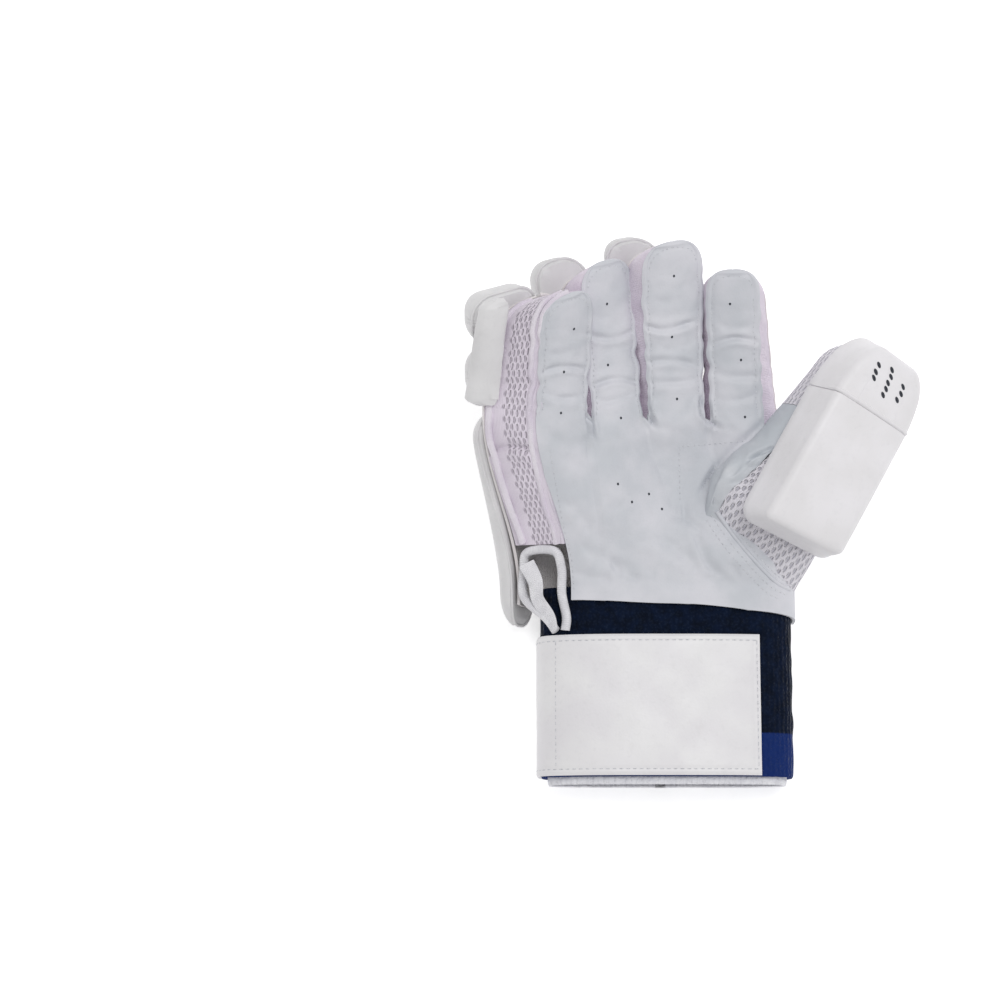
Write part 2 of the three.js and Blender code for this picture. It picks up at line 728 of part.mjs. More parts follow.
function tapeGeometry() {
  const inset = tapeRadius + clearance * 3;
  const [frontLeg, backLeg] = tapeAngles;
  const leg = (share, t) => {
    const front = slitEdge(0.05, share);
    const back = slitEdge(0.92, share);
    const step = inset / front.distanceTo(back);
    const lift = tapeLift * ease(slitStart, 1, share);
    return front.lerp(back, mix(step, 1 - step, t)).addScaledVector(cuffNormal(slitAngle), lift);
  };
  const top = slitStart + (tapeRadius + clearance * 5) / handLength;
  const loose = cuffTopY - leatherCover;
  const down = (angle, y) => cuffPoint(angle, inset, y).addScaledVector(cuffNormal(angle), clearance);
  const points = [
    down(frontLeg, strapTopY + clearance + tapeRadius),
    down(frontLeg - 1, mix(strapTopY, loose, 0.5)),
    leg(1.05, 0),
    leg(0.9, 0),
    leg(top, 0.15),
    leg(top, 0.85),
    leg(0.9, 1),
    leg(1.05, 1),
    down(backLeg + tapeBow, mix(strapTopY, loose, 0.5)),
    down(backLeg, strapTopY + clearance + tapeRadius),
  ];
  return ribbon(points, tapeRadius, tapeRadius, [0, 0], 28);
}

// Loose twisted loop of tape that crosses the slit.
function tabGeometry() {
  const lift = tapeRadius * 2 + tabThickness + clearance * 4;
  const above = (share, t) => {
    return slitEdge(0, share).lerp(slitEdge(1, share), t).addScaledVector(cuffNormal(slitAngle), lift);
  };
  const end = strapTopY + clearance + tabWidth / 4;
  const points = [
    above(0.87, 0.68),
    above(0.97, 0.55),
    above(1.08, 0.5),
    cuffPoint(tapeAngles[1], lift, mix(strapTopY, cuffTopY - leatherCover, 0.5)),
    cuffPoint(mix(...tapeAngles, 0.5), lift, end),
  ];
  return ribbon(points, tabWidth / 2, tabThickness / 2, tabTwist, 14);
}

// Flat or round band along a curve, turned from the first twist angle to the second.
function ribbon(points, halfWidth, halfThickness, twist, segments) {
  const curve = new THREE.CatmullRomCurve3(points);
  const frames = curve.computeFrenetFrames(segments, false);
  const ring = spread(-90, 270, 8).slice(0, -1);
  const rings = spread(0, 1, segments).map((t, i) => {
    const centre = curve.getPointAt(t);
    const turn = mix(...twist, t) * degree;
    const wide = frames.normals[i].clone().multiplyScalar(Math.cos(turn))
      .addScaledVector(frames.binormals[i], Math.sin(turn));
    const thin = new THREE.Vector3().crossVectors(frames.tangents[i], wide);
    return ring.map((angle) => centre.clone()
      .addScaledVector(wide, halfWidth * Math.cos(angle * degree))
      .addScaledVector(thin, halfThickness * Math.sin(angle * degree)));
  });
  return stack(rings);
}

// Materials

function material(color, roughness) {
  return new THREE.MeshStandardMaterial({ color, roughness, metalness: 0 });
}

const palmLeather = material(0xcdd0d4, 0.55);
const meshCloth = material(0xe1dae4, 0.85);
const backCloth = material(0xd6cdc6, 0.9);
const rollCover = material(0xdadbd7, 0.6);
const guardCover = material(0xe0dee2, 0.5);
const navyTowelling = material(0x081c3a, 0.95);
const whiteTowelling = material(0xe9e9ee, 0.95);
const strapCover = material(0xdcdadc, 0.5);
const whiteTape = material(0xebebf0, 0.8);

// Assembly

const glove = new THREE.Group();

function add(name, geometry, look) {
  const piece = new THREE.Mesh(geometry, look);
  piece.name = name;
  glove.add(piece);
}

const frontSheet = handSheet(frontPoint, (finger, column) => {
  return place(finger, -lap(finger, column), column * finger.rootHalf, 0);
}, 1);
const backSheet = handSheet(backPoint, (finger, column) => {
  const { across } = seamPoint(finger, column < 0 ? -1 : 1, palmStations[0], 1);
  return place(finger, -handLength - leatherCover, Math.abs(column) * across, -fingerDepth);
}, -1);

add('palm_leather', cut(frontSheet, thumbHollow), palmLeather);
add('back_panel', cut(backSheet, thumbHollow), backCloth);

for (const [from, to] of [[0, 1], [1, 2], [2, 3]]) {
  const name = `fourchette_${fingers[from].name}_${fingers[to].name}`;
  add(name, fourchette(fingers[from], fingers[to]), meshCloth);
}

const outerDown = wallPath(little, -1, wallStations.toReversed());
add('side_mesh_finger', gridSheet(sideWall(outerDown, 1.5), mesh, { flip: true }), meshCloth);
const outerHand = wallPath(little, -1, palmStretch(0.015, slitStart, 6));
add('side_mesh_hand', gridSheet(sideWall(outerHand, 1.5), mesh, { flip: true }), meshCloth);
const indexDown = wallPath(index, 1, [...wallStations.toReversed(), ...palmStretch(0.08, 0.3, 3)]);
add('index_side_wall', cut(gridSheet(sideWall(indexDown, 0.6), mesh), thumbHollow), meshCloth);

for (const row of rollTable) {
  add(`roll_${row.finger}_${row.part}`, rollGeometry(row), rollCover);
}
add('side_bar_little', sideBarGeometry(), rollCover);

const lowerRows = spread(thumbRoot, thumbLeatherEnd, 7);
const upperRows = [...spread(thumbLeatherEnd + clearance, thumbLength - thumbTipLength, 3),
  ...tipRings.map((t) => thumbLength - thumbTipLength * (1 - t))];
const innerFace = thumbSheet(lowerRows, innerSeam + seamAngle, outerSeam - seamAngle, 8);
const meshSide = thumbSheet(lowerRows, outerSeam, innerSeam + 360, 16);
add('thumb_leather', cut(innerFace, hand), palmLeather);
add('thumb_mesh', cut(meshSide, hand), meshCloth);
add('thumb_tip', cut(thumbSheet(upperRows, -90, 270, 20, true), hand), meshCloth);

add('thumb_guard_base', guardGeometry(guardFrom, guardSplit - guardSeam / 2, 8, 1.5), guardCover);
add('thumb_guard_tip', guardGeometry(guardSplit + guardSeam / 2, guardTo, 1.5, 16), guardCover);

const bandTop = cuffTopY - clearance;
const liningEnd = cuffEndY - liningHem;
add('wristband', cuffTube(bandTop, cuffEndY, 0, towelling), navyTowelling);
add('wrist_lining', cuffTube(bandTop, liningEnd, -towelling - clearance, lining), whiteTowelling);
add('wrist_strap', strapGeometry(), strapCover);
add('slit_binding', tapeGeometry(), whiteTape);
add('pull_tab', tabGeometry(), whiteTape);

// The origin is the middle of the glove's footprint, on the surface it lies on.
const bounds = new THREE.Box3().setFromObject(glove);
const centre = bounds.getCenter(new THREE.Vector3());
glove.position.set(-centre.x, -centre.y, -bounds.min.z);

export default glove;
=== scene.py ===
import math
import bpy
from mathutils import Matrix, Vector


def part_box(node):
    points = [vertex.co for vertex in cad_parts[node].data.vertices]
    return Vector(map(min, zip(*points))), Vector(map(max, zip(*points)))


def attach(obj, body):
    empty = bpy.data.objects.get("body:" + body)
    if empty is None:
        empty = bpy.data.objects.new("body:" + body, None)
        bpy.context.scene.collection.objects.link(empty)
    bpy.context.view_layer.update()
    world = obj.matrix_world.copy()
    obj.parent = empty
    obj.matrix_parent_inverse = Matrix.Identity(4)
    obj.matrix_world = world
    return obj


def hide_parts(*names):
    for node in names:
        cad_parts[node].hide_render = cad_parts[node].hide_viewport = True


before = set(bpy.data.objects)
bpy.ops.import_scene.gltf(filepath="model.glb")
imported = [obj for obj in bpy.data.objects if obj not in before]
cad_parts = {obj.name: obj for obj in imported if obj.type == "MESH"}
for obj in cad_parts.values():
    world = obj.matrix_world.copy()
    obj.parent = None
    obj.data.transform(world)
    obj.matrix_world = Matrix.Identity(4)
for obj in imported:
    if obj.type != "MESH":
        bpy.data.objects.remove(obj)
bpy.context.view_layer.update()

from types import SimpleNamespace

import bmesh
import bpy
import numpy as np
from mathutils import Vector
from mathutils.bvhtree import BVHTree

# Right-hand cricket batting glove, palm up. The shapes follow the same formulas as the part's
# source, in its millimetres, with finer steps, seams, creases and stitching.

rng = np.random.default_rng(11)

# Sizes repeated from the part's source
LEATHER, MESH, CLEARANCE, SEAM = 1.4, 1.2, 0.3, 0.6
KNUCKLE_Y, PALM_HEIGHT, HAND, MIDDLE_X = 42, 44, 80, -7.9
FINGER_LENGTH, FINGER_WIDTH, DEPTH = 87, 30, 24
TIP_SLANT, TIP_FLARE, KNUCKLE_GAP, CROWN, TIP_ROUNDNESS = 11, 0.52, 2.4, 2.6, 2.5
CUFF_WIDTH, CUFF_HEIGHT, CUFF_LENGTH, CUFF_X, CUFF_SAG = 121, 36, 91, -13, 0.8
TOWELLING, LINING, LINING_HEM = 3, 1.2, 3.5
STRAP_THICKNESS, STRAP_WIDTH, STRAP_INSET, STRAP_ANGLES = 1.8, 67, 0.5, (54, 286)
LAP_EASE, LEATHER_COVER, HEEL_COVER = 0.5, 7, 9
ROLL_DEPTH, ROLL_WIDTH, ROLL_CORNER, ROLL_WELT, ROLL_ROUNDNESS = 17, 28, 0.42, 0.22, 0.75
CUFF_THINNING = 0.5
BAR_DEPTH, BAR_WIDTH, BAR_SPAN = 12, 9, (0.02, 1.12)
GUARD_DEPTH, GUARD_WIDTH, GUARD_TOP, GUARD_TAPER = 21, 54, 43, 0.8
THUMB_LENGTH, THUMB_WIDTH, THUMB_TIP, THUMB_SLANT, SLANT_REACH = 114, 48, 18, 0.6, 60
SLIT_START, TAPE_RADIUS, TAPE_LIFT, TAB_WIDTH, TAB_THICKNESS = 0.76, 1.7, 1.8, 6, 1.2
TAPE_ANGLES, TAPE_BOW, SLIT_ANGLE = (133, 141), 10, 150
INNER_SEAM, OUTER_SEAM = 137, 244
SQUARENESS = 3

CUFF_TOP_Y = KNUCKLE_Y - HAND
SKIN_GROW = CLEARANCE + LAP_EASE + LEATHER
CUFF_FLOOR = max(STRAP_THICKNESS + CLEARANCE, SKIN_GROW) + CLEARANCE
CUFF_CENTRE_Z = CUFF_FLOOR + CUFF_HEIGHT / 2
CUFF_END_Y = CUFF_TOP_Y - CUFF_LENGTH
STRAP_TOP_Y = CUFF_END_Y + STRAP_INSET + STRAP_WIDTH
ROLL_SEAT = DEPTH + CLEARANCE

# The frame's origin lies under the middle of the glove; the band shows the shift to it.
band_low, band_high = (np.array(corner) * 1000 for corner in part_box("wristband"))
SHIFT = np.array([
    (band_low[0] + band_high[0]) / 2 - CUFF_X,
    band_low[1] - CUFF_END_Y,
    band_low[2] - CUFF_FLOOR,
])

FINGER_KEYS = ("name length root_width width lean root_rise tip_rise root_roll tip_roll "
               "flare_left flare_right cuff_flare lift front back creases").split()
FINGERS = [SimpleNamespace(**dict(zip(FINGER_KEYS, row))) for row in [
    ("little", 0.68, 0.9, 1.0, 3, 18, 44, 26, 38, 17, 0.3, 9, 3, (130, 109), (178, 225),
     ((0.33, 0.7, 1.5), (0.08, 0.5, -1))),
    ("ring", 0.875, 0.87, 0.97, -5, 4, 31, 16, 30, -2, 0.5, 0, 0, (109, 86), (225, 257),
     ((0.47, 0.9, 2), (0.12, 0.8, -1.5))),
    ("middle", 1.0, 0.93, 1.05, -2.5, 8, 36, 6, 20, 0.5, 0.5, 0, 0, (86, 60), (257, 290),
     ((0.52, 1.1, 2), (0.26, 0.7, -1), (0.17, 0.7, 1))),
    ("index", 0.845, 0.86, 0.86, -3, 8, 36, -6, -5, 0.5, 7, 0, 0, (60, -8), (290, 351.4),
     ((0.45, 0.9, -2), (0.14, 0.6, 1.5))),
]]
for finger in FINGERS:
    finger.reach = finger.length * FINGER_LENGTH
    finger.half = finger.width * FINGER_WIDTH / 2
    finger.root_half = finger.root_width * FINGER_WIDTH / 2
LITTLE, RING, MIDDLE, INDEX = FINGERS


def mix(a, b, t):
    return a + (b - a) * t


def ease(low, high, x):
    t = np.clip((x - low) / (high - low), 0, 1)
    return t * t * (3 - 2 * t)


def power(value, exponent):
    return np.sign(value) * np.abs(value) ** exponent


def vec(x, y, z):
    return np.stack(np.broadcast_arrays(x, y, z), -1).astype(float)


def unit(v):
    return v / np.maximum(np.linalg.norm(v, axis=-1, keepdims=True), 1e-9)


def bump_at(x, width):
    return np.exp(-(x / width) ** 2)


def seam_step(finger):
    roll = math.radians(finger.root_roll)
    return finger.root_half * math.cos(roll), finger.root_half * math.sin(roll)


MIDDLE.x, MIDDLE.z = MIDDLE_X, PALM_HEIGHT
for own, neighbour, side in ((RING, MIDDLE, -1), (LITTLE, RING, -1), (INDEX, MIDDLE, 1)):
    (own_x, own_z), (next_x, next_z) = seam_step(own), seam_step(neighbour)
    own.x = neighbour.x + side * (next_x + KNUCKLE_GAP + own_x)
    own.z = neighbour.z - side * (next_z + own_z) + own.lift
for finger in FINGERS:
    finger.y = KNUCKLE_Y

THUMB = SimpleNamespace(
    x=31, y=-24, z=34, reach=THUMB_LENGTH, lean=28, root_rise=14, tip_rise=-4, root_roll=22, tip_roll=27,
)


# Straight space to the curled glove

def bend(part, along, across, out):
    along, across, out = np.broadcast_arrays(*(np.asarray(v, float) for v in (along, across, out)))
    root = math.radians(part.root_rise)
    turn = math.radians(part.tip_rise - part.root_rise) / part.reach
    rise = root + turn * along
    ahead = (np.sin(rise) - math.sin(root)) / turn
    up = (math.cos(root) - np.cos(rise)) / turn
    roll = np.radians(mix(part.root_roll, part.tip_roll, np.maximum(along, 0) / part.reach))[..., None]
    lean = math.radians(part.lean)
    forward = np.array([math.sin(lean), math.cos(lean), 0])
    side = np.array([math.cos(lean), -math.sin(lean), 0])
    upward = np.array([0, 0, 1.0])
    normal = upward * np.cos(rise)[..., None] - forward * np.sin(rise)[..., None]
    rolled_side = side * np.cos(roll) - normal * np.sin(roll)
    rolled_normal = normal * np.cos(roll) + side * np.sin(roll)
    base = np.array([part.x, part.y, part.z])
    return (base + forward * ahead[..., None] + upward * up[..., None]
            + rolled_side * across[..., None] + rolled_normal * out[..., None])


def cuff_point(angle, grow, y=CUFF_TOP_Y, floor=None):
    angle = np.radians(angle)
    x = CUFF_X + (CUFF_WIDTH / 2 + grow) * power(np.cos(angle), 2 / SQUARENESS)
    z = CUFF_CENTRE_Z + (CUFF_HEIGHT / 2 + grow + CUFF_SAG) * power(np.sin(angle), 2 / SQUARENESS)
    return vec(x, y, np.maximum(z, CUFF_FLOOR - grow if floor is None else floor))


def cuff_normal(angle):
    angle = np.radians(angle)
    x = power(np.cos(angle), 2 - 2 / SQUARENESS) / CUFF_WIDTH
    z = power(np.sin(angle), 2 - 2 / SQUARENESS) / CUFF_HEIGHT
    return unit(vec(x, 0, z))


def side_reach(finger, side, step, depth):
    flare = np.where(np.asarray(side) < 0, finger.flare_left, finger.flare_right)
    on_finger = np.maximum(step, 0)
    width = mix(finger.root_half, finger.half, ease(0, 1, on_finger))
    return width + depth * flare * mix(1, TIP_FLARE, on_finger)


def at_cuff(finger, across, out):
    depth = np.clip(-out / DEPTH, 0, 1)
    share = (across / side_reach(finger, across, 0.0, depth) + 1) / 2
    front_angle = mix(finger.front[0] - 1, finger.front[1] + 1, share)
    back_angle = mix(finger.back[0] + 1, finger.back[1] - 1, share)
    front = cuff_point(front_angle, SKIN_GROW) + cuff_normal(front_angle) * np.maximum(out, 0)[..., None]
    below = np.maximum(-out - DEPTH, 0) + finger.cuff_flare * (1 - share)
    back = cuff_point(back_angle, SKIN_GROW) + cuff_normal(back_angle) * below[..., None]
    return mix(front, back, depth[..., None])


# Rises and hollow of the palm: across, behind, height, size, as shares
MOUNDS = ((0.32, 0.72, 5, 0.32), (-0.29, 0.5, 3, 0.3), (0.04, 0.3, -4, 0.28))


def mound(point):
    total = 0
    for across, behind, height, size in MOUNDS:
        aside = point[..., 0] - CUFF_X - across * CUFF_WIDTH
        away = point[..., 1] - KNUCKLE_Y + behind * HAND
        total = total + height * np.exp(-(aside ** 2 + away ** 2) / (size * HAND) ** 2)
    return total


def place(finger, along, across, out):
    along, across, out = np.broadcast_arrays(*(np.asarray(v, float) for v in (along, across, out)))
    on_finger = bend(finger, np.maximum(along, 0), across, out)
    knuckle = bend(finger, 0, across, out)
    cuff = at_cuff(finger, across, out)
    t = np.clip(-along / HAND, 0, 1)[..., None]
    reach = np.linalg.norm(knuckle - cuff, axis=-1, keepdims=True)
    start = unit(bend(finger, -1, across, out) - knuckle) * reach
    end = np.array([0, -1.0, 0]) * reach
    on_hand = (knuckle * (1 + 2 * t) * (1 - t) ** 2 + start * t * (1 - t) ** 2
               + cuff * t * t * (3 - 2 * t) + end * t * t * (t - 1))
    depth = np.clip(-out / DEPTH, 0, 1)
    t = t[..., 0]
    on_hand[..., 2] += mound(on_hand) * (1 - depth) * ease(0, 0.2, t) * ease(1, 0.85, t)
    on_cuff = cuff.copy()
    on_cuff[..., 1] = CUFF_TOP_Y + along + HAND
    along = along[..., None]
    return np.where(along >= 0, on_finger, np.where(along < -HAND, on_cuff, on_hand))


def pinch(finger, side, step, depth):
    """How far the seams draw in at the creases, and waver between them."""
    along = np.maximum(step, 0) * finger.reach
    drawn = 0.0
    for share, amount, _ in finger.creases:
        drawn = drawn + amount * bump_at(along - (share + 0.02 * side) * finger.reach, 3.2)
    waver = np.sin(along * 0.42 + finger.length * 40 + side * 2) + np.sin(along * 0.23 + finger.length * 70)
    return (drawn + 0.3 * waver) * (1 - 0.6 * depth) * ease(0, 0.08, step) * ease(1.02, 0.9, step)


def seam_point(finger, side, step, turn, depth, inset=0.0):
    reach = side * (side_reach(finger, side, step, depth) - inset - pinch(finger, side, step, depth))
    straight = finger.reach - finger.half - depth * TIP_SLANT
    turned = np.radians(turn)
    rounding = (finger.half - inset) * power(np.sin(turned), 2 / TIP_ROUNDNESS)
    along = np.where(step < 0, step * HAND, straight * np.maximum(step, 0) + rounding)
    across = reach * np.where(step < 0, 1, power(np.cos(turned), 2 / TIP_ROUNDNESS))
    return along, across


# The camera looks from the cuff's side, ten degrees off straight down, and frames the glove at the
# right of the picture as the photograph does. Details are placed where they show in that picture,
# in its thousandths of a width from the upper left corner.
TARGET = np.array([-93.1, 5.0, 30.0])
DISTANCE, ELEVATION, PIXEL = 1200, math.radians(80), 0.485
EYE = TARGET + DISTANCE * np.array([0, -math.cos(ELEVATION), math.sin(ELEVATION)])
VIEW_UP = np.array([0, math.sin(ELEVATION), math.cos(ELEVATION)])
VIEW_BACK = unit(EYE - TARGET)


def picture(points):
    away = (EYE - points) @ VIEW_BACK
    size = DISTANCE / PIXEL / away
    return np.stack([500 + (points - EYE)[..., 0] * size, 500 - (points - EYE) @ VIEW_UP * size], -1)


def behind_picture(x, y, tree, lift=0.0):
    """Point and normal of the surface seen at that place of the picture."""
    ray = -VIEW_BACK * DISTANCE + np.array([1, 0, 0]) * (x - 500) * PIXEL + VIEW_UP * (500 - y) * PIXEL
    hit, normal, _, _ = tree.ray_cast(Vector((EYE + SHIFT) / 1000), Vector(unit(ray)))
    normal = np.array(normal) * (1 if np.array(normal) @ ray < 0 else -1)
    return np.array(hit) * 1000 - SHIFT + normal * lift, normal


def line_behind(corners, tree, count=30):
    """Row of points and normals under straight lines between corners of the picture."""
    corners = np.array(corners, float)
    ends = np.concatenate([[0], np.cumsum(np.linalg.norm(np.diff(corners, axis=0), axis=1))])
    at = np.linspace(0, ends[-1], count)
    spots = [behind_picture(*(np.interp(t, ends, corners[:, k]) for k in (0, 1)), tree) for t in at]
    return np.array([spot for spot, _ in spots]), np.array([normal for _, normal in spots])


# Noise that needs no texture: a sum of seeded waves in space

WAVES = [(rng.normal(size=3), rng.uniform(0, 2 * math.pi)) for _ in range(28)]


def ripple(points, size, first=0, count=9):
    """Smooth irregular waves between about -1 and 1, with features of about that size in mm."""
    total = 0
    for direction, phase in WAVES[first:first + count]:
        total = total + np.sin(points @ (direction * 2.2 / size) + phase)
    return total / math.sqrt(count) * 0.8


# Fronts, backs and walls of the fingers

STITCH_EDGE = 2.8

# Creases and folds of the leather: two ends in the picture, bow, depth and width in millimetres
FOLDS = (
    (541, 374, 588, 371, -3, 0.9, 1.3), (543, 392, 582, 398, 2, 0.6, 1.6),
    (546, 352, 574, 348, 2, 0.35, 1.8), (583, 333, 634, 330, 3, 0.8, 1.4),
    (590, 386, 640, 383, -3, 0.9, 1.3), (596, 397, 634, 394, 2, 0.5, 1.6),
    (586, 312, 612, 316, 2, 0.3, 2.0), (604, 352, 632, 348, -2, 0.3, 2.0),
    (641, 324, 697, 322, 3, 1.0, 1.4), (641, 364, 699, 366, -2, 0.8, 1.5),
    (644, 379, 701, 377, 3, 0.6, 1.5), (652, 300, 684, 297, 2, 0.3, 2.2), (660, 347, 694, 343, 2, 0.3, 2.0),
    (707, 346, 762, 343, -3, 1.0, 1.4), (712, 370, 764, 374, 2, 0.5, 1.7),
    (716, 322, 750, 325, 2, 0.3, 2.0), (712, 396, 760, 392, 3, 0.4, 2.0), (588, 396, 597, 440, 2, 2.0, 1.3),
    (583, 412, 592, 436, -1, 0.6, 1.4), (600, 420, 606, 440, 1, 0.4, 1.5),
    (643, 392, 658, 430, 2, 2.0, 1.3), (640, 408, 650, 432, -1, 0.5, 1.4),
    (656, 410, 668, 432, 1, 0.4, 1.4), (704, 392, 722, 430, 3, 2.0, 1.3),
    (702, 408, 712, 430, -1, 0.5, 1.5), (716, 414, 734, 432, 1, 0.5, 1.4),
    (545, 430, 580, 446, 2, 0.35, 2.4), (556, 560, 610, 574, 4, 0.4, 2.6),
    (590, 588, 650, 582, -4, 0.35, 2.2), (735, 592, 782, 560, 6, 0.6, 2.0),
    (748, 606, 790, 584, 4, 0.7, 1.8), (764, 596, 784, 574, 2, 0.8, 1.5),
    (700, 596, 740, 570, 5, 0.35, 2.4), (548, 470, 560, 540, 3, 0.35, 2.6),
    (636, 450, 676, 470, 4, 0.25, 3.2), (600, 470, 640, 520, 6, 0.22, 3.5),
    (660, 520, 690, 560, 4, 0.25, 3.2), (684, 500, 708, 532, 3, 0.5, 1.6),
    (672, 512, 700, 546, -3, 0.35, 2.0), (697, 500, 768, 422, -3, 1.3, 1.7),
    (746, 464, 776, 449, -1, 1.6, 1.0), (750, 470, 776, 459, 1, 1.1, 1.0),
    (722, 482, 764, 472, 2, 0.6, 1.5), (712, 474, 744, 462, 3, 0.6, 1.6),
    (740, 440, 768, 432, 2, 0.35, 2.0), (712, 508, 742, 486, -2, 0.5, 1.5),
    (580, 540, 640, 566, 5, 0.4, 2.4), (610, 560, 668, 590, 4, 0.4, 2.2),
    (640, 540, 700, 570, -5, 0.35, 2.6), (588, 580, 622, 592, -2, 0.5, 1.6),
    (680, 592, 716, 574, 3, 0.45, 1.8), (560, 500, 590, 536, -4, 0.35, 2.4),
    (620, 430, 690, 440, -4, 0.3, 2.6), (700, 540, 726, 580, 3, 0.45, 1.9),
    (720, 560, 744, 596, -3, 0.5, 1.7), (556, 448, 600, 470, 3, 0.3, 2.4),
    (548, 330, 582, 342, -3, 0.25, 2.2), (652, 268, 690, 262, 3, 0.25, 2.4),
    (592, 286, 628, 280, 3, 0.25, 2.2),
)


def folds(point):
    relief = 0.0
    seen = picture(point)
    wobble = 1.6 * ripple(point, 14, 2, 7)
    for x0, y0, x1, y1, bow, depth, width in FOLDS:
        start, line = np.array([x0, y0]), np.array([x1 - x0, y1 - y0])
        length = np.hypot(*line)
        t = (seen - start) @ line / length ** 2
        side = (seen - start) @ np.array([-line[1], line[0]]) / length * PIXEL
        away = side - bow * (1 - (2 * t - 1) ** 2) - wobble * 0.5
        fade = ease(-0.08, 0.22, t) * ease(1.08, 0.78, t)
        deep = bump_at(away, width) * (0.8 + 0.4 * np.sin(9 * t + x0))
        relief = relief + depth * fade * (0.55 * bump_at(away - width * 1.9, width * 1.4)
                                          + 0.35 * bump_at(away + width * 2.1, width * 1.5) - deep)
    return relief


def front_relief(edge, point):
    """Seam welt of the fingers and small wrinkles of the leather, in mm outward."""
    welt = 0.4 * bump_at(edge - 1.3, 0.9) - 0.4 * bump_at(edge - STITCH_EDGE, 0.7)
    pucker = 0.22 * ripple(point, 5, 8) * bump_at(edge - 1.5, 2.2)
    return welt + pucker + (0.2 * ripple(point, 9) + 0.12 * ripple(point, 5, 14)) * ease(0, 3, edge)


def palm_relief(point):
    near_band = ease(CUFF_TOP_Y + 18, CUFF_TOP_Y + 2, point[..., 1])
    gathers = np.sin(point[..., 0] * 0.7 + 2.5 * ripple(point, 16, 5)) * near_band
    gathers = gathers * (0.5 + ripple(point, 20, 16))
    waves = ((0.6, 24, 3), (0.26, 9, 9), (0.12, 5, 14))
    return sum(height * ripple(point, size, first) for height, size, first in waves) + 0.3 * gathers


def front_surface(finger, step, turn, column, lift=0.0):
    along, across = seam_point(finger, np.where(column < 0, -1, 1), step, turn, 0)
    across = np.abs(column) * across
    fade = np.where(step < 0, ease(0.5, 0, -step), 1)
    bulge = CROWN * fade * np.cos(np.radians(turn)) ** 0.6 * (1 - np.abs(column) ** 2.4)
    plain = place(finger, along, across, bulge)
    edge = (1 - np.abs(column)) * finger.half
    edge = np.where(step < 0, edge + 40 * ease(0, 0.12, -step), np.minimum(edge, finger.reach - along))
    on_palm = ease(0.02, 0.2, -step)
    relief = front_relief(edge, plain) * (1 - on_palm) + palm_relief(plain) * on_palm
    relief = relief + 1.35 * folds(plain) * ease(0, 1.8, edge)
    near_cuff = np.where(step < 0, ease(1.0, 0.94, -step), 1)
    return place(finger, along, across, bulge + relief * near_cuff + lift)


def back_surface(finger, step, turn, column):
    along, across = seam_point(finger, np.where(column < 0, -1, 1), step, turn, 1)
    across = np.abs(column) * across
    plain = place(finger, along, across, -DEPTH)
    near_cuff = np.where(step < 0, ease(1.0, 0.9, -step), 1)
    sag = 0.14 * ripple(plain, 12) * ease(0, 0.15, 1 - np.abs(column)) * near_cuff
    return place(finger, along, across, -DEPTH + sag)


OUTER_BULGE, FOURCHETTE_BULGE, INDEX_BULGE = 1.5, 3.0, 0.9
KNUCKLE_FOLD = 452


def wall_surface(path, heights, bulge):
    """Stretch of side wall. The path lists (finger, side, steps, turns)."""
    columns = []
    for finger, side, step, turn in path:
        height = heights[:, None]
        front_along, front_across = seam_point(finger, side, step, turn, 0, SEAM)
        back_along, back_across = seam_point(finger, side, step, turn, 1, SEAM)
        swell = side * bulge * np.sin(np.pi * height) * np.cos(np.radians(turn))
        tuck = LEATHER * 0.8 * (1 + np.maximum(-step, 0))
        out = mix(-tuck, tuck - DEPTH, height)
        across = mix(front_across, back_across, height) + swell
        along = mix(front_along, back_along, height)
        point = place(finger, along, across, out)
        pucker = 0.22 * ripple(point, 7, 5) * np.sin(np.pi * height)
        if bulge == OUTER_BULGE:
            fold = (picture(point)[..., 1] - KNUCKLE_FOLD + 6 * np.sin(np.pi * height)) * PIXEL
            pucker = pucker + (0.9 * bump_at(fold - 4, 3) - 2.2 * bump_at(fold, 1.6)) * ease(0, 0.25, height)
        columns.append(place(finger, along, across + side * pucker, out))
    return np.concatenate(columns, 1)


def stations(palm_rows, straight_rows, tip_rows, last=88.5):
    on_palm = -np.linspace(1, 0.012, palm_rows)
    step = np.concatenate([on_palm, np.linspace(0, 1, straight_rows), np.ones(tip_rows)])
    round_tip = last * np.linspace(0, 1, tip_rows + 1)[1:] ** 0.8
    return step, np.concatenate([np.zeros(palm_rows + straight_rows), round_tip])


# Meshes

def build(name, points, faces, uv=None):
    mesh = bpy.data.meshes.new(name)
    mesh.from_pydata(((points.reshape(-1, 3) + SHIFT) / 1000).tolist(), [], faces)
    if uv is not None:
        corners = np.empty(len(mesh.loops), int)
        mesh.loops.foreach_get("vertex_index", corners)
        layer = mesh.uv_layers.new(name="UVMap")
        layer.data.foreach_set("uv", (uv[corners] / 100).ravel())
    piece = bpy.data.objects.new(name, mesh)
    bpy.context.scene.collection.objects.link(piece)
    return piece


def smooth(piece, angle=50):
    piece.data.shade_smooth()
    piece.data.set_sharp_from_angle(angle=math.radians(angle))


def grid_uv(grid):
    across = np.linalg.norm(np.diff(grid, axis=1), axis=-1).mean(0)
    along = np.linalg.norm(np.diff(grid, axis=0), axis=-1).mean(1)
    u = np.concatenate([[0], np.cumsum(across)])
    v = np.concatenate([[0], np.cumsum(along)])
    return np.stack(np.meshgrid(u, v), -1).reshape(-1, 2)


def grid_quads(rows, columns, closed=False):
    index = np.arange(rows * columns).reshape(rows, columns)
    if closed:
        index = np.concatenate([index, index[:, :1]], 1)
    return np.stack([index[:-1, :-1], index[:-1, 1:], index[1:, 1:], index[1:, :-1]], -1)


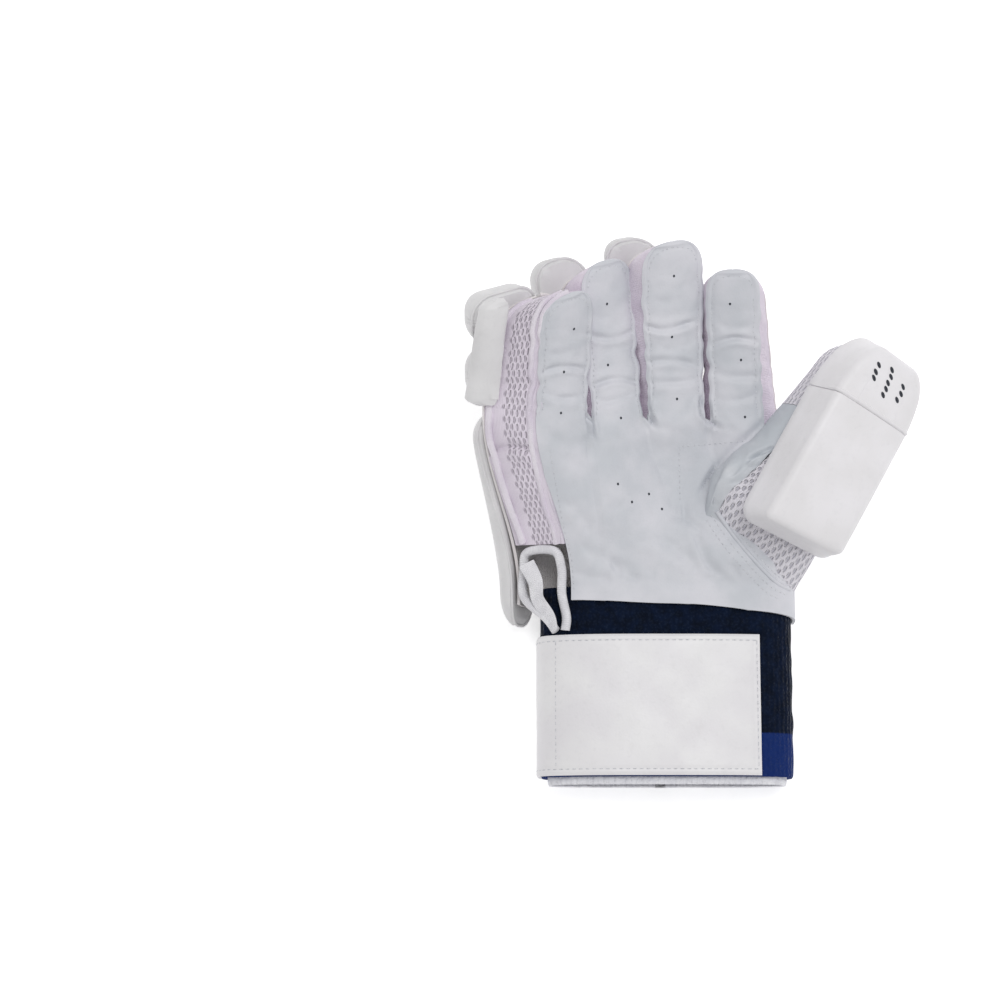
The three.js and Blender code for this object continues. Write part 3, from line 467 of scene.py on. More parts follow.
def rework(piece, change):
    """Changes a piece's mesh through a bmesh."""
    work = bmesh.new()
    work.from_mesh(piece.data)
    change(work)
    work.to_mesh(piece.data)
    work.free()


def drop_loose(work):
    bmesh.ops.delete(work, geom=[vertex for vertex in work.verts if not vertex.link_faces], context="VERTS")


def slab(name, grid, thickness, flip=False, closed=False, keep=None, capped=False):
    """Sheet through a grid of points: its outer side, an inner side, and a rim round its edges."""
    rows, columns = grid.shape[:2]
    ring = np.concatenate([grid, grid[:, :1]], 1) if closed else grid
    across = np.linalg.norm(np.diff(ring, axis=1), axis=-1)[1:]
    along = np.linalg.norm(np.diff(grid, axis=0), axis=-1)[:, :across.shape[1]]
    used = np.ones(across.shape, bool) if keep is None else keep
    quads = grid_quads(rows, columns, closed)[used]
    if capped:
        start, end = (rows - 1) * columns, rows * columns - 1
        cap = [(start + i, start + i + 1, end - i - 1, end - i) for i in range(columns // 2 - 1)]
        quads = np.concatenate([quads, np.array(cap)])
    if flip:
        quads = quads[:, ::-1]
    points = grid.reshape(-1, 3)
    crossed = np.cross(points[quads[:, 2]] - points[quads[:, 0]], points[quads[:, 3]] - points[quads[:, 1]])
    normals = np.zeros_like(points)
    for corner in range(4):
        np.add.at(normals, quads[:, corner], crossed)
    count = len(points)
    starts, ends = quads.ravel(), np.roll(quads, -1, axis=1).ravel()
    rim = ~np.isin(starts * count + ends, ends * count + starts)
    starts, ends = starts[rim], ends[rim]
    sides = np.stack([starts, starts + count, ends + count, ends], 1)
    faces = np.concatenate([quads, quads[:, ::-1] + count, sides])
    uv = grid_uv(grid)
    inner = points - unit(normals) * thickness
    piece = build(name, np.concatenate([points, inner]), faces.tolist(), np.concatenate([uv, uv]))
    piece["cut"] = [float((across * used).sum(1).max() / 1000), float((along * used).sum(0).max() / 1000),
                    float(np.linalg.norm(crossed, axis=-1).sum() / 2e6)]
    rework(piece, drop_loose)
    smooth(piece)
    return piece


def stack(name, rings):
    """Closed body through rings, with end faces between mirrored points."""
    rows, columns = rings.shape[:2]
    quads = grid_quads(rows, columns, True).reshape(-1, 4).tolist()
    top = (rows - 1) * columns
    for i in range(columns // 2 - 1):
        j = columns - 1 - i
        quads.append((j, j - 1, i + 1, i))
        quads.append((top + i, top + i + 1, top + j - 1, top + j))
    piece = build(name, rings, quads, grid_uv(rings))
    rework(piece, lambda work: bmesh.ops.recalc_face_normals(work, faces=work.faces))
    smooth(piece)
    return piece


def tube(name, points, radius, sides=10, closed=False, width=None, twist=None):
    """Round or flat band along points. Twist lists its turn at each point, in degrees."""
    points = np.asarray(points, float)
    tangent = unit(np.gradient(points, axis=0))
    if closed:
        tangent = unit(np.roll(points, -1, 0) - np.roll(points, 1, 0))
    across = np.cross(tangent[0], [0, 0, 1.0])
    across = unit(across if np.linalg.norm(across) > 0.1 else np.cross(tangent[0], [1.0, 0, 0]))
    angle = np.linspace(0, 2 * math.pi, sides, endpoint=False)
    rings = []
    for i, point in enumerate(points):
        across = unit(across - tangent[i] * (across @ tangent[i]))
        other = np.cross(tangent[i], across)
        turn = math.radians(twist[i]) if twist is not None else 0
        wide = across * math.cos(turn) + other * math.sin(turn)
        thin = np.cross(tangent[i], wide)
        rings.append(point + np.cos(angle)[:, None] * wide * (width or radius)
                     + np.sin(angle)[:, None] * thin * radius)
    rings = np.array(rings)
    if closed:
        quads = grid_quads(len(rings) + 1, sides, True).reshape(-1, 4) % (len(rings) * sides)
        piece = build(name, rings, quads.tolist(), grid_uv(rings))
        smooth(piece, 80)
        return piece
    return stack(name, rings)


def surface_of(*pieces):
    """Search tree over the pieces' faces, in metres."""
    vertices, faces = [], []
    for piece in pieces:
        offset = len(vertices)
        vertices.extend(vertex.co.copy() for vertex in piece.data.vertices)
        faces.extend([offset + i for i in polygon.vertices] for polygon in piece.data.polygons)
    return BVHTree.FromPolygons(vertices, faces)


def settle(points, tree):
    """Nearest points and normals of a surface, in the source's millimetres."""
    places, normals = [], []
    for point in points:
        location, normal, _, _ = tree.find_nearest(Vector((point + SHIFT) / 1000))
        places.append(np.array(location) * 1000 - SHIFT)
        normals.append(np.array(normal))
    return np.array(places), np.array(normals)


def resample(points, spacing):
    points = np.asarray(points, float)
    length = np.concatenate([[0], np.cumsum(np.linalg.norm(np.diff(points, axis=0), axis=1))])
    count = max(int(round(length[-1] / spacing)), 2)
    at = np.linspace(0, length[-1], count + 1)
    return np.stack([np.interp(at, length, points[:, k]) for k in range(3)], 1)


def curve(points, count=80):
    """Smooth curve through the points."""
    points = np.asarray(points, float)
    points = np.concatenate([[2 * points[0] - points[1]], points, [2 * points[-1] - points[-2]]])
    result = []
    spans = len(points) - 3
    for t in np.linspace(0, spans - 1e-6, count):
        i = int(t)
        t = t - i
        a, b, c, d = points[i:i + 4]
        result.append(0.5 * (2 * b + (c - a) * t + (2 * a - 5 * b + 4 * c - d) * t ** 2
                             + (3 * b - a - 3 * c + d) * t ** 3))
    return np.array(result)


def stitches(name, paths, length=2.0, gap=0.9, radius=0.26):
    """Rows of sewn stitches. Each path is (points, normals) on a surface."""
    angle = np.linspace(0, 2 * math.pi, 6, endpoint=False)
    steps = np.array([-1, -0.72, 0, 0.72, 1])
    thick = np.array([0.35, 0.9, 1, 0.9, 0.35])
    high = np.array([-0.5, 0.35, 0.6, 0.35, -0.5])
    template = grid_quads(5, 6, True).reshape(-1, 4)
    vertices, faces = [], []
    for points, normals in paths:
        points = np.asarray(points)
        total = np.concatenate([[0], np.cumsum(np.linalg.norm(np.diff(points, axis=0), axis=1))])
        for centre in np.arange(length / 2, total[-1] - length / 2, length + gap):
            ends = [np.array([np.interp(s, total, points[:, k]) for k in range(3)])
                    for s in (centre - length / 2, centre + length / 2)]
            normal = unit(np.array([np.interp(centre, total, normals[:, k]) for k in range(3)]))
            middle, along = (ends[0] + ends[1]) / 2, (ends[1] - ends[0]) / 2
            side = unit(np.cross(unit(along), normal))
            rings = (middle + steps[:, None, None] * along + normal * (high * radius)[:, None, None]
                     + side * (thick[:, None] * np.cos(angle) * radius)[..., None]
                     + normal * (thick[:, None] * np.sin(angle) * radius)[..., None])
            faces.extend((template + len(vertices) * 30).tolist())
            vertices.append(rings.reshape(-1, 3))
    piece = build(name, np.concatenate(vertices), faces)
    smooth(piece, 80)
    return piece


def vents(name, spots, normals, directions, length, width):
    """Small dark vent marks, each a flat dished oval with a raised rim, standing in for the shaded insides of
    vent holes.
    """
    angle = np.linspace(0, 2 * math.pi, 14, endpoint=False)
    vertices, faces = [], []
    for spot, normal, direction in zip(spots, normals, directions):
        long = unit(direction - normal * (direction @ normal))
        side = np.cross(normal, long)
        for scale, height in ((1.25, -0.25), (1.05, 0.12), (0.85, 0.05)):
            ring = (spot + normal * height + np.cos(angle)[:, None] * long * length / 2 * scale
                    + np.sin(angle)[:, None] * side * width / 2 * scale)
            vertices.append(ring)
        base = (len(vertices) - 3) * 14
        faces.extend((grid_quads(3, 14, True).reshape(-1, 4) + base).tolist())
        faces.append(list(range(base + 28, base + 42)))
    piece = build(name, np.concatenate(vertices), faces)
    smooth(piece, 60)
    return piece


# Materials. A Paint adds nodes with plain calls; every number that is the same all over a surface
# is set on the shader itself.

def linear(r, g, b):
    channel = [c / 255 for c in (r, g, b)]
    return tuple(c / 12.92 if c <= 0.04045 else ((c + 0.055) / 1.055) ** 2.4 for c in channel) + (1.0,)


class Paint:
    def __init__(self, name, **settings):
        self.material = bpy.data.materials.new(name)
        self.material.use_nodes = True
        self.nodes = self.material.node_tree.nodes
        self.links = self.material.node_tree.links
        self.shader = self.nodes["Principled BSDF"]
        for key, value in settings.items():
            self.shader.inputs[key.replace("_", " ")].default_value = value
        self.heights = []

    def add(self, kind, inputs, output, **settings):
        node = self.nodes.new(kind)
        for key, value in settings.items():
            setattr(node, key, value)
        for key, value in inputs.items():
            socket = node.inputs[key]
            if isinstance(value, bpy.types.NodeSocket):
                self.links.new(value, socket)
            else:
                socket.default_value = value
        return node.outputs[output]

    def math(self, operation, *values):
        return self.add("ShaderNodeMath", dict(enumerate(values)), 0, operation=operation)

    def place(self):
        return self.add("ShaderNodeTexCoord", {}, "Object")

    def uv(self):
        """Place on the sheet in millimetres: along its columns and along its rows."""
        split = self.nodes.new("ShaderNodeSeparateXYZ")
        self.links.new(self.add("ShaderNodeTexCoord", {}, "UV"), split.inputs[0])
        return [self.math("MULTIPLY", split.outputs[k], 100.0) for k in range(2)]

    def noise(self, size, detail=2.0, roughness=0.5):
        """Noise with features of about that size in millimetres."""
        return self.add("ShaderNodeTexNoise", {
            "Vector": self.place(), "Scale": 1000.0 / size, "Detail": detail, "Roughness": roughness}, "Fac")

    def cells(self, size):
        """Distance from the middles of soft cells of about that size in millimetres."""
        return self.add("ShaderNodeTexVoronoi", {"Vector": self.place(), "Scale": 1000.0 / size}, "Distance",
                        feature="SMOOTH_F1")

    def step(self, value, low, high, result_low=0.0, result_high=1.0):
        return self.add("ShaderNodeMapRange", {
            "Value": value, "From Min": low, "From Max": high, "To Min": result_low, "To Max": result_high},
            "Result", interpolation_type="SMOOTHSTEP")

    def blend(self, factor, first, second):
        node = self.nodes.new("ShaderNodeMix")
        node.data_type = "RGBA"
        for socket, value in zip((node.inputs[0], node.inputs[6], node.inputs[7]), (factor, first, second)):
            if isinstance(value, bpy.types.NodeSocket):
                self.links.new(value, socket)
            else:
                socket.default_value = value
        return node.outputs[2]

    def between(self, value, low, high, first, second):
        """Goes from the first colour to the second as the value goes from low to high."""
        return self.blend(self.step(value, low, high), linear(*first), linear(*second))

    def colour(self, socket):
        self.links.new(socket, self.shader.inputs["Base Color"])
        return self

    def rough(self, socket):
        self.links.new(socket, self.shader.inputs["Roughness"])
        return self

    def bump(self, height, depth, strength=1.0):
        """Adds relief of that depth in millimetres."""
        node = self.nodes.new("ShaderNodeBump")
        node.inputs["Strength"].default_value = strength
        node.inputs["Distance"].default_value = depth / 1000
        self.links.new(height, node.inputs["Height"])
        if self.heights:
            self.links.new(self.heights[-1], node.inputs["Normal"])
        self.heights.append(node.outputs[0])
        self.links.new(node.outputs[0], self.shader.inputs["Normal"])
        return self


def leather_paint(name, base, shade, grain, depth, roughness, coat=0.0):
    """Leather: pale cloudy colour, a fine pebbled grain, small pores and soft rubbed patches."""
    paint = Paint(name, Coat_Weight=coat, Coat_Roughness=0.4, Specular_IOR_Level=0.45)
    tone = paint.between(paint.noise(26, 3.0, 0.55), 0.3, 0.72, shade, base)
    dirt = paint.math("MULTIPLY", paint.step(paint.noise(9, 5.0, 0.65), 0.58, 0.8), 0.1)
    tone = paint.blend(dirt, tone, linear(184, 180, 176))
    speck = paint.math("MULTIPLY", paint.step(paint.noise(grain * 2.2, 4.0, 0.6), 0.5, 0.75), 0.07)
    paint.colour(paint.blend(speck, tone, linear(168, 168, 172)))
    paint.rough(paint.step(paint.noise(14, 2.0), 0.25, 0.75, roughness - 0.07, roughness + 0.07))
    pebble = paint.cells(grain)
    paint.bump(pebble, depth).bump(paint.noise(grain * 5, 3.0), depth * 2.2, 0.7)
    return paint.material


def weave_of(paint, across, along, pitch):
    """Height of a plain weave with that pitch."""
    u = paint.math("MULTIPLY", across, math.pi / pitch)
    v = paint.math("MULTIPLY", along, math.pi / pitch)
    threads = paint.math("MULTIPLY", paint.math("SINE", u), paint.math("SINE", v))
    return paint.math("ABSOLUTE", threads)


def mesh_paint(name, base, hole_shade, pitch, length, turned, size, band=None):
    """Knitted mesh with staggered almond holes, within the band of rows if one is given. The holes carry
    painted shade: a darker colour for the shaded hollow seen through them.

    "turned" runs their length along the columns.
    """
    paint = Paint(name, Roughness=0.85, Sheen_Weight=0.25, Sheen_Roughness=0.5)
    across, along = paint.uv()
    rows = along
    if turned:
        across, along = along, across
    row = paint.math("DIVIDE", along, length)
    lane = paint.math("FLOOR", row)
    shift = paint.math("MULTIPLY", paint.math("PINGPONG", lane, 1.0), 0.5)
    column = paint.math("ADD", paint.math("DIVIDE", across, pitch), shift)
    x = paint.math("SUBTRACT", paint.math("FRACT", column), 0.5)
    y = paint.math("SUBTRACT", paint.math("FRACT", row), 0.5)
    y2 = paint.math("MULTIPLY", y, y)
    width = paint.math("SUBTRACT", size, paint.math("MULTIPLY", y2, size * 4.6))
    inside = paint.math("SUBTRACT", width, paint.math("ABSOLUTE", x))
    if band:
        inside = paint.math("SUBTRACT", inside, paint.step(rows, band[0], band[0] - 1.5))
        inside = paint.math("SUBTRACT", inside, paint.step(rows, band[1], band[1] + 1.5))
    opening = paint.step(inside, -0.02, 0.1)
    cloth = paint.between(paint.noise(18, 3.0), 0.3, 0.7, [c - 10 for c in base], base)
    # Painted shade: the holes take the darker hole colour, for the shaded hollow behind the mesh.
    paint.colour(paint.blend(paint.math("MULTIPLY", opening, 0.92), cloth, linear(*hole_shade)))
    rib = paint.math("SINE", paint.math("MULTIPLY", across, 2 * math.pi / 0.8))
    paint.bump(rib, 0.07).bump(paint.noise(1.1, 2.0), 0.12)
    paint.bump(paint.step(inside, -0.16, 0.12, 1.0, 0.0), 0.75)
    return paint.material


def cloth_paint(name, base, shade, pitch):
    """Plain woven cloth."""
    paint = Paint(name, Roughness=0.9, Sheen_Weight=0.2, Sheen_Roughness=0.5)
    across, along = paint.uv()
    tone = paint.between(paint.noise(16, 3.0), 0.3, 0.7, shade, base)
    fleck = paint.math("MULTIPLY", paint.step(paint.noise(1.3, 3.0), 0.5, 0.8), 0.25)
    paint.colour(paint.blend(fleck, tone, linear(*[c - 26 for c in base])))
    paint.bump(weave_of(paint, across, along, pitch), 0.16).bump(paint.noise(3.5, 3.0), 0.2)
    return paint.material


def towel_paint(name, base, shade, stripe=None, stripe_from=0.0, stripe_to=0.0):
    """Knitted towelling: small loops in rows, a soft nap, and a painted highlight that lightens the tops of the
    loops.
    """
    paint = Paint(name, Roughness=0.95, Sheen_Weight=0.1, Sheen_Roughness=0.4, Specular_IOR_Level=0.15)
    across, along = paint.uv()
    loops = paint.cells(1.25)
    nap = paint.noise(5, 4.0, 0.6)
    tone = paint.between(nap, 0.3, 0.7, shade, base)
    if stripe:
        edge = paint.math("ADD", along, paint.math("MULTIPLY", paint.noise(2.0, 2.0), 0.9))
        inside = paint.math("MULTIPLY", paint.step(edge, stripe_from, stripe_from + 0.9),
                            paint.step(edge, stripe_to, stripe_to + 0.9, 1.0, 0.0))
        tone = paint.blend(inside, tone, linear(*stripe))
    # Painted highlight: the middles of the loops are lightened towards a paler colour, where light would catch
    # their tops.
    loop_top_highlight = paint.step(loops, 0.0, 0.5, 0.1, 0.0)
    paint.colour(paint.blend(loop_top_highlight, tone, linear(*[min(c + 60, 255) for c in base])))
    rib = paint.math("SINE", paint.math("MULTIPLY", across, 2 * math.pi / 2.6))
    paint.bump(loops, 0.55).bump(rib, 0.12).bump(nap, 0.5)
    return paint.material


def thread_paint(name, base, shade):
    """Twisted sewing thread."""
    paint = Paint(name, Roughness=0.6, Sheen_Weight=0.2)
    twist = paint.noise(0.5, 2.0)
    paint.colour(paint.between(twist, 0.35, 0.65, shade, base))
    paint.bump(twist, 0.08)
    return paint.material


def tape_paint(name, base, shade):
    """Ribbed woven tape, with painted shade in the troughs between its ribs."""
    paint = Paint(name, Roughness=0.8, Sheen_Weight=0.2)
    _, along = paint.uv()
    ribs = paint.math("SINE", paint.math("MULTIPLY", along, 2 * math.pi / 0.9))
    tone = paint.between(paint.noise(6, 3.0), 0.35, 0.65, shade, base)
    # Painted shade: the troughs between the ribs are darkened towards a deeper grey.
    paint.colour(paint.blend(paint.step(ribs, -1.0, 1.0, 0.14, 0.0), tone, linear(*[c - 45 for c in shade])))
    paint.bump(ribs, 0.1).bump(paint.noise(1.2, 2.0), 0.1)
    return paint.material


def vent_shade_paint():
    """Painted shade: the dark, mottled insides of the vent holes."""
    paint = Paint("vent_painted_shade", Roughness=0.7)
    mottle = paint.noise(0.6, 2.0)
    paint.colour(paint.between(mottle, 0.3, 0.7, (26, 30, 38), (52, 56, 66)))
    paint.bump(mottle, 0.1)
    return paint.material


PALM = leather_paint("palm_leather", (214, 214, 220), (197, 200, 206), 0.9, 0.05, 0.56)
THUMB_FACE = leather_paint("thumb_leather", (212, 214, 219), (192, 197, 203), 0.9, 0.05, 0.55)
ROLL = leather_paint("roll_leather", (226, 225, 226), (216, 215, 216), 1.3, 0.04, 0.55)
GUARD = leather_paint("guard_leather", (235, 233, 236), (228, 226, 228), 1.5, 0.03, 0.5, 0.05)
STRAP = leather_paint("strap_leather", (233, 232, 233), (227, 225, 228), 1.2, 0.035, 0.46, 0.08)
# The second colour of each mesh is the painted shade in its holes.
THUMB_NET = mesh_paint("thumb_net", (234, 231, 238), (186, 184, 195), 3.2, 3.7, False, 0.2)
SIDE_NET = mesh_paint("side_net", (235, 226, 238), (192, 182, 196), 2.7, 3.4, True, 0.21, (5.5, 16.5))
WALL_CLOTH = cloth_paint("wall_cloth", (232, 222, 234), (216, 205, 220), 1.1)
PIPING = cloth_paint("piping_cloth", (236, 230, 238), (222, 213, 226), 0.9)
BACK = cloth_paint("back_cloth", (236, 232, 232), (226, 221, 220), 0.9)
NAVY = towel_paint("navy_towelling", (6, 20, 44), (3, 11, 27), (19, 42, 100), 70, 95)
WHITE_TOWEL = towel_paint("white_towelling", (236, 236, 240), (222, 222, 228))
TAPE = tape_paint("white_tape", (242, 241, 245), (228, 227, 232))
THREAD = thread_paint("thread", (226, 227, 230), (178, 180, 186))
# Painted shade of the vent holes: dark ovals on the leather, the guard and the rolls.
VENT_SHADE = vent_shade_paint()


def finish_piece(piece, look, *nodes, fill=None):
    """Gives a piece its material and slot, parents it to the root body, and hides the model's parts that it
    replaces.
    """
    piece.data.materials.clear()
    piece.data.materials.append(look)
    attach(piece, "root")
    if nodes:
        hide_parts(*nodes)
    if "cut" in piece:
        width, length, area = piece["cut"]
    return piece


# Hand: front and back sheets, joined below the knuckles

COLUMNS = np.sin(np.linspace(-1, 1, 31) * math.pi / 2 * 0.92) / math.sin(math.pi / 2 * 0.92)


def lap(finger, column):
    share = (FINGERS.index(finger) + (column + 1) / 2) / len(FINGERS)
    return HAND + LEATHER_COVER + HEEL_COVER * share * share


def hand_grid(surface, step, turn):
    grids = [surface(finger, step[:, None], turn[:, None], COLUMNS[None, :]) for finger in FINGERS]
    return np.concatenate(grids, 1)


def hand_keep(rows, knuckle_row):
    """Quads of the hand's sheet: none between the fingers beyond the knuckles."""
    count = len(COLUMNS)
    keep = np.ones((rows - 1, count * len(FINGERS) - 1), bool)
    for gap in range(1, len(FINGERS)):
        keep[knuckle_row:, gap * count - 1] = False
    return keep


PALM_ROWS, STRAIGHT_ROWS, TIP_ROWS, HEM_ROWS, BACK_HEM_ROWS = 64, 92, 14, 9, 5
step, turn = stations(PALM_ROWS, STRAIGHT_ROWS, TIP_ROWS)

hem = []
for t in np.linspace(1, 0.08, HEM_ROWS):
    hem.append(np.concatenate([
        place(finger, -mix(HAND, lap(finger, COLUMNS), t), COLUMNS * finger.root_half,
              0.25 * np.sin(3 * COLUMNS + 5 * finger.length) * t)
        for finger in FINGERS
    ]))
front_grid = np.concatenate([np.array(hem), hand_grid(front_surface, step, turn)])
back_hem = []
for t in np.linspace(1, 0.1, BACK_HEM_ROWS):
    rows = []
    for finger in FINGERS:
        _, across = seam_point(finger, np.where(COLUMNS < 0, -1, 1), np.full(COLUMNS.shape, -1.0), 0.0, 1)
        rows.append(place(finger, -HAND - LEATHER_COVER * t, np.abs(COLUMNS) * across, -DEPTH))
    back_hem.append(np.concatenate(rows))
back_grid = np.concatenate([np.array(back_hem), hand_grid(back_surface, step, turn)])

palm = slab("palm", front_grid, LEATHER, keep=hand_keep(len(front_grid), HEM_ROWS + PALM_ROWS))
back = slab("back", back_grid, LEATHER, flip=True, keep=hand_keep(len(back_grid), BACK_HEM_ROWS + PALM_ROWS))


# Thumb tube

THUMB_SECTIONS = np.array([
    (-0.17, 0.9, 0.36, 0.04, 0.3), (0.0, 0.83, 0.5, 0.14, 0.46), (0.1, 0.77, 0.5, 0.22, 0.46),
    (0.25, 0.7, 0.5, 0.3, 0.42), (0.5, 0.57, 0.47, 0.32, 0.36), (0.8, 0.4, 0.42, 0.32, 0.32),
    (1.0, 0.34, 0.38, 0.32, 0.3),
])
LEFT, RIGHT, TOP, BOTTOM = 1, 2, 3, 4


def thumb_reach(at, column):
    table = THUMB_SECTIONS
    last = len(table) - 1
    i = np.clip(np.searchsorted(table[:, 0], at, side="right") - 1, 0, last - 1)
    before, after = np.maximum(i - 1, 0), np.minimum(i + 2, last)
    x0, x1, x2, x3 = (table[k, 0] for k in (before, i, i + 1, after))
    y0, y1, y2, y3 = (table[k, column] for k in (before, i, i + 1, after))
    span = x2 - x1
    t = np.clip((at - x1) / span, None, 1)
    m1, m2 = (y2 - y0) / (x2 - x0) * span, (y3 - y1) / (x3 - x1) * span
    return THUMB_WIDTH * (y1 * (1 + 2 * t) * (1 - t) ** 2 + m1 * t * (1 - t) ** 2
                          + y2 * t * t * (3 - 2 * t) + m2 * t * t * (t - 1))


def thumb_point(along, angle, grow=0.0):
    along, angle = np.broadcast_arrays(np.asarray(along, float), np.asarray(angle, float))
    at = along / THUMB_LENGTH
    past = np.clip((along - THUMB_LENGTH + THUMB_TIP) / THUMB_TIP, 0, 1)
    close = (1 - past ** 2.4) ** (1 / 2.4)
    cos = power(np.cos(np.radians(angle)), 2 / SQUARENESS)
    sin = power(np.sin(np.radians(angle)), 2 / SQUARENESS)
    aside = np.where(cos > 0, thumb_reach(at, RIGHT), thumb_reach(at, LEFT))
    upward = np.where(sin > 0, thumb_reach(at, TOP), thumb_reach(at, BOTTOM))
    across = cos * np.maximum(aside + grow, 1) * close
    out = sin * np.maximum(upward + grow, 1) * close
    slant = THUMB_SLANT * across * ease(SLANT_REACH, 0, along)
    return bend(THUMB, along - slant, across, out)


THUMB_ROOT, THUMB_SPLIT = -0.16 * THUMB_LENGTH, 0.62 * THUMB_LENGTH
# The thumb's root narrows and sinks into the palm: by how much, over which length or around which
# place of the picture
ROOT_NARROWS, ROOT_STRETCH = 9, 26
CROTCH_SINK, CROTCH, CROTCH_SIZE = 8.5, (702, 521), 17


def thumb_grid(alongs, angles, leather=False):
    along, angle = np.meshgrid(alongs, angles, indexing="ij")
    plain = thumb_point(along, angle)
    relief = 0.2 * ripple(plain, 13, 6) - ROOT_NARROWS * ease(THUMB_ROOT + ROOT_STRETCH, THUMB_ROOT, along)
    if leather:
        edge = np.minimum(angle - angles[0], angles[-1] - angle) * 0.35
        relief = relief + folds(plain) - 0.25 * bump_at(edge - 2.2, 0.8) + 0.1 * ripple(plain, 5, 3)
    point = thumb_point(along, angle, relief)
    point[..., 2] -= CROTCH_SINK * bump_at(np.linalg.norm(picture(point) - CROTCH, axis=-1), CROTCH_SIZE)
    return point


# Seam that crosses the thumb's root, in the picture
THUMB_SEAM = (
    (600, 600), (700, 501), (707, 503), (716, 510), (734, 536), (756, 562), (776, 582), (791, 590), (900, 600),
)


def on_palm_side(grid):
    """Which quads of the thumb lie on the palm's side of the seam that crosses its root."""
    seen = picture((grid[:-1, :-1] + grid[1:, 1:]) / 2)
    xs, ys = np.array(THUMB_SEAM, float).T
    return seen[..., 1] > np.interp(seen[..., 0], xs, ys)


face_angles = np.linspace(INNER_SEAM + 0.3, OUTER_SEAM - 0.3, 120)
net_angles = np.linspace(OUTER_SEAM, INNER_SEAM + 360, 110)
lower = np.linspace(THUMB_ROOT, THUMB_SPLIT, 130)
thumb_face = slab("thumb_face", thumb_grid(lower, face_angles, True), MESH, flip=True)
net_grid = thumb_grid(lower, net_angles)
diagonals = net_grid[1:, 1:] - net_grid[:-1, :-1], net_grid[:-1, 1:] - net_grid[1:, :-1]
face_up = np.cross(*diagonals)[..., 2] > 0
gusset_quads = on_palm_side(net_grid) & (face_up if face_up[40, 60] else ~face_up)
thumb_net = slab("thumb_net", net_grid, MESH, flip=True, keep=~gusset_quads)
gusset = slab("thumb_gusset", net_grid, MESH, flip=True, keep=gusset_quads)
rounding_steps = np.array([0.12, 0.25, 0.4, 0.55, 0.7, 0.8, 0.88, 0.93, 0.965, 0.985, 0.995])
tip_rows = np.concatenate([
    np.linspace(THUMB_SPLIT + CLEARANCE, THUMB_LENGTH - THUMB_TIP, 28),
    THUMB_LENGTH - THUMB_TIP * (1 - rounding_steps),
])
thumb_tip = slab("thumb_cap", thumb_grid(tip_rows, np.linspace(-90, 270, 121)[:-1]), MESH,
                 flip=True, closed=True, capped=True)

finish_piece(palm, PALM, "palm_leather")
finish_piece(back, BACK, "back_panel")
finish_piece(thumb_face, THUMB_FACE, "thumb_leather")
finish_piece(thumb_net, THUMB_NET, "thumb_mesh")
finish_piece(gusset, PALM)
finish_piece(thumb_tip, THUMB_NET, "thumb_tip")


# Side walls and fourchettes

heights = np.linspace(0, 1, 19)
wall_step, wall_turn = (values[2:] for values in stations(2, 60, 14, 90))


def tip_down(finger, side):
    """Stretch of wall from the fingertip to the knuckle."""
    return finger, side, wall_step[::-1], wall_turn[::-1]


def palm_stretch(start, end, count):
    return -np.linspace(start, end, count), np.zeros(count)


def wall_piece(name, node, path, bulge, look, flip=False):
    piece = slab(name, wall_surface(path, heights, bulge), MESH, flip=flip)
    return finish_piece(piece, look, node)


for near, far in ((LITTLE, RING), (RING, MIDDLE), (MIDDLE, INDEX)):
    wall_piece(f"fourchette_{near.name}", f"fourchette_{near.name}_{far.name}",
               [tip_down(near, 1), (far, -1, wall_step, wall_turn)], FOURCHETTE_BULGE, WALL_CLOTH)
wall_piece("outer_finger_net", "side_mesh_finger", [tip_down(LITTLE, -1)], OUTER_BULGE, SIDE_NET, flip=True)
wall_piece("outer_hand_net", "side_mesh_hand", [(LITTLE, -1, *palm_stretch(0.0005, SLIT_START, 60))],
           OUTER_BULGE, SIDE_NET, flip=True)


def wall_row(path, height, out):
    rows = []
    for finger, side, step, turn in path:
        front_along, front_across = seam_point(finger, side, step, turn, 0, SEAM)
        back_along, back_across = seam_point(finger, side, step, turn, 1, SEAM)
        tuck = (LEATHER + CLEARANCE * 3) * (1 + np.maximum(-step, 0))
        across = mix(front_across, back_across, height) + side * out
        along = mix(front_along, back_along, height)
        rows.append(place(finger, along, across, mix(-tuck, tuck - DEPTH, height)))
    return np.concatenate(rows)


# Pipings along the outer wall: height as a share of the wall, distance out of it, and radius
PIPINGS = ((-0.08, 0.0, 1.3), (0.07, 0.9, 1.5), (0.9, 1.0, 1.7))
outer_path = [tip_down(LITTLE, -1), (LITTLE, -1, *palm_stretch(0.01, SLIT_START, 40))]
pipings = []
for i, (height, out, radius) in enumerate(PIPINGS):
    row = wall_row(outer_path, height, out)
    row = resample(row[row[:, 1] < LITTLE.y + LITTLE.reach - 8], 1.2)
    row = row + 0.45 * np.stack([ripple(row, 8, 3 * i + first) for first in (0, 4, 8)], -1)
    pipings.append(tube(f"piping_{i}", row, radius, 10))
wall_piece("index_wall", "index_side_wall", [tip_down(INDEX, 1), (INDEX, 1, *palm_stretch(0.02, 0.3, 22))],
           INDEX_BULGE, WALL_CLOTH)


# Padded rolls

def oblong(half_length, half_width, lower, upper, corner=10, straight=12):
    """Ring of (along, across) round a rounded oblong; its second half mirrors the first."""
    turn = np.linspace(0, math.pi / 2, corner)
    right = np.concatenate([
        np.stack([-half_length + lower * (1 - np.cos(turn)), half_width - lower * (1 - np.sin(turn))], 1),
        np.stack([np.linspace(-half_length + lower, half_length - upper, straight + 2)[1:-1],
                  np.full(straight, half_width)], 1),
        np.stack([half_length - upper * (1 - np.sin(turn)), half_width - upper * (1 - np.cos(turn))], 1),
    ])
    return np.concatenate([right, right[::-1] * [1, -1]])


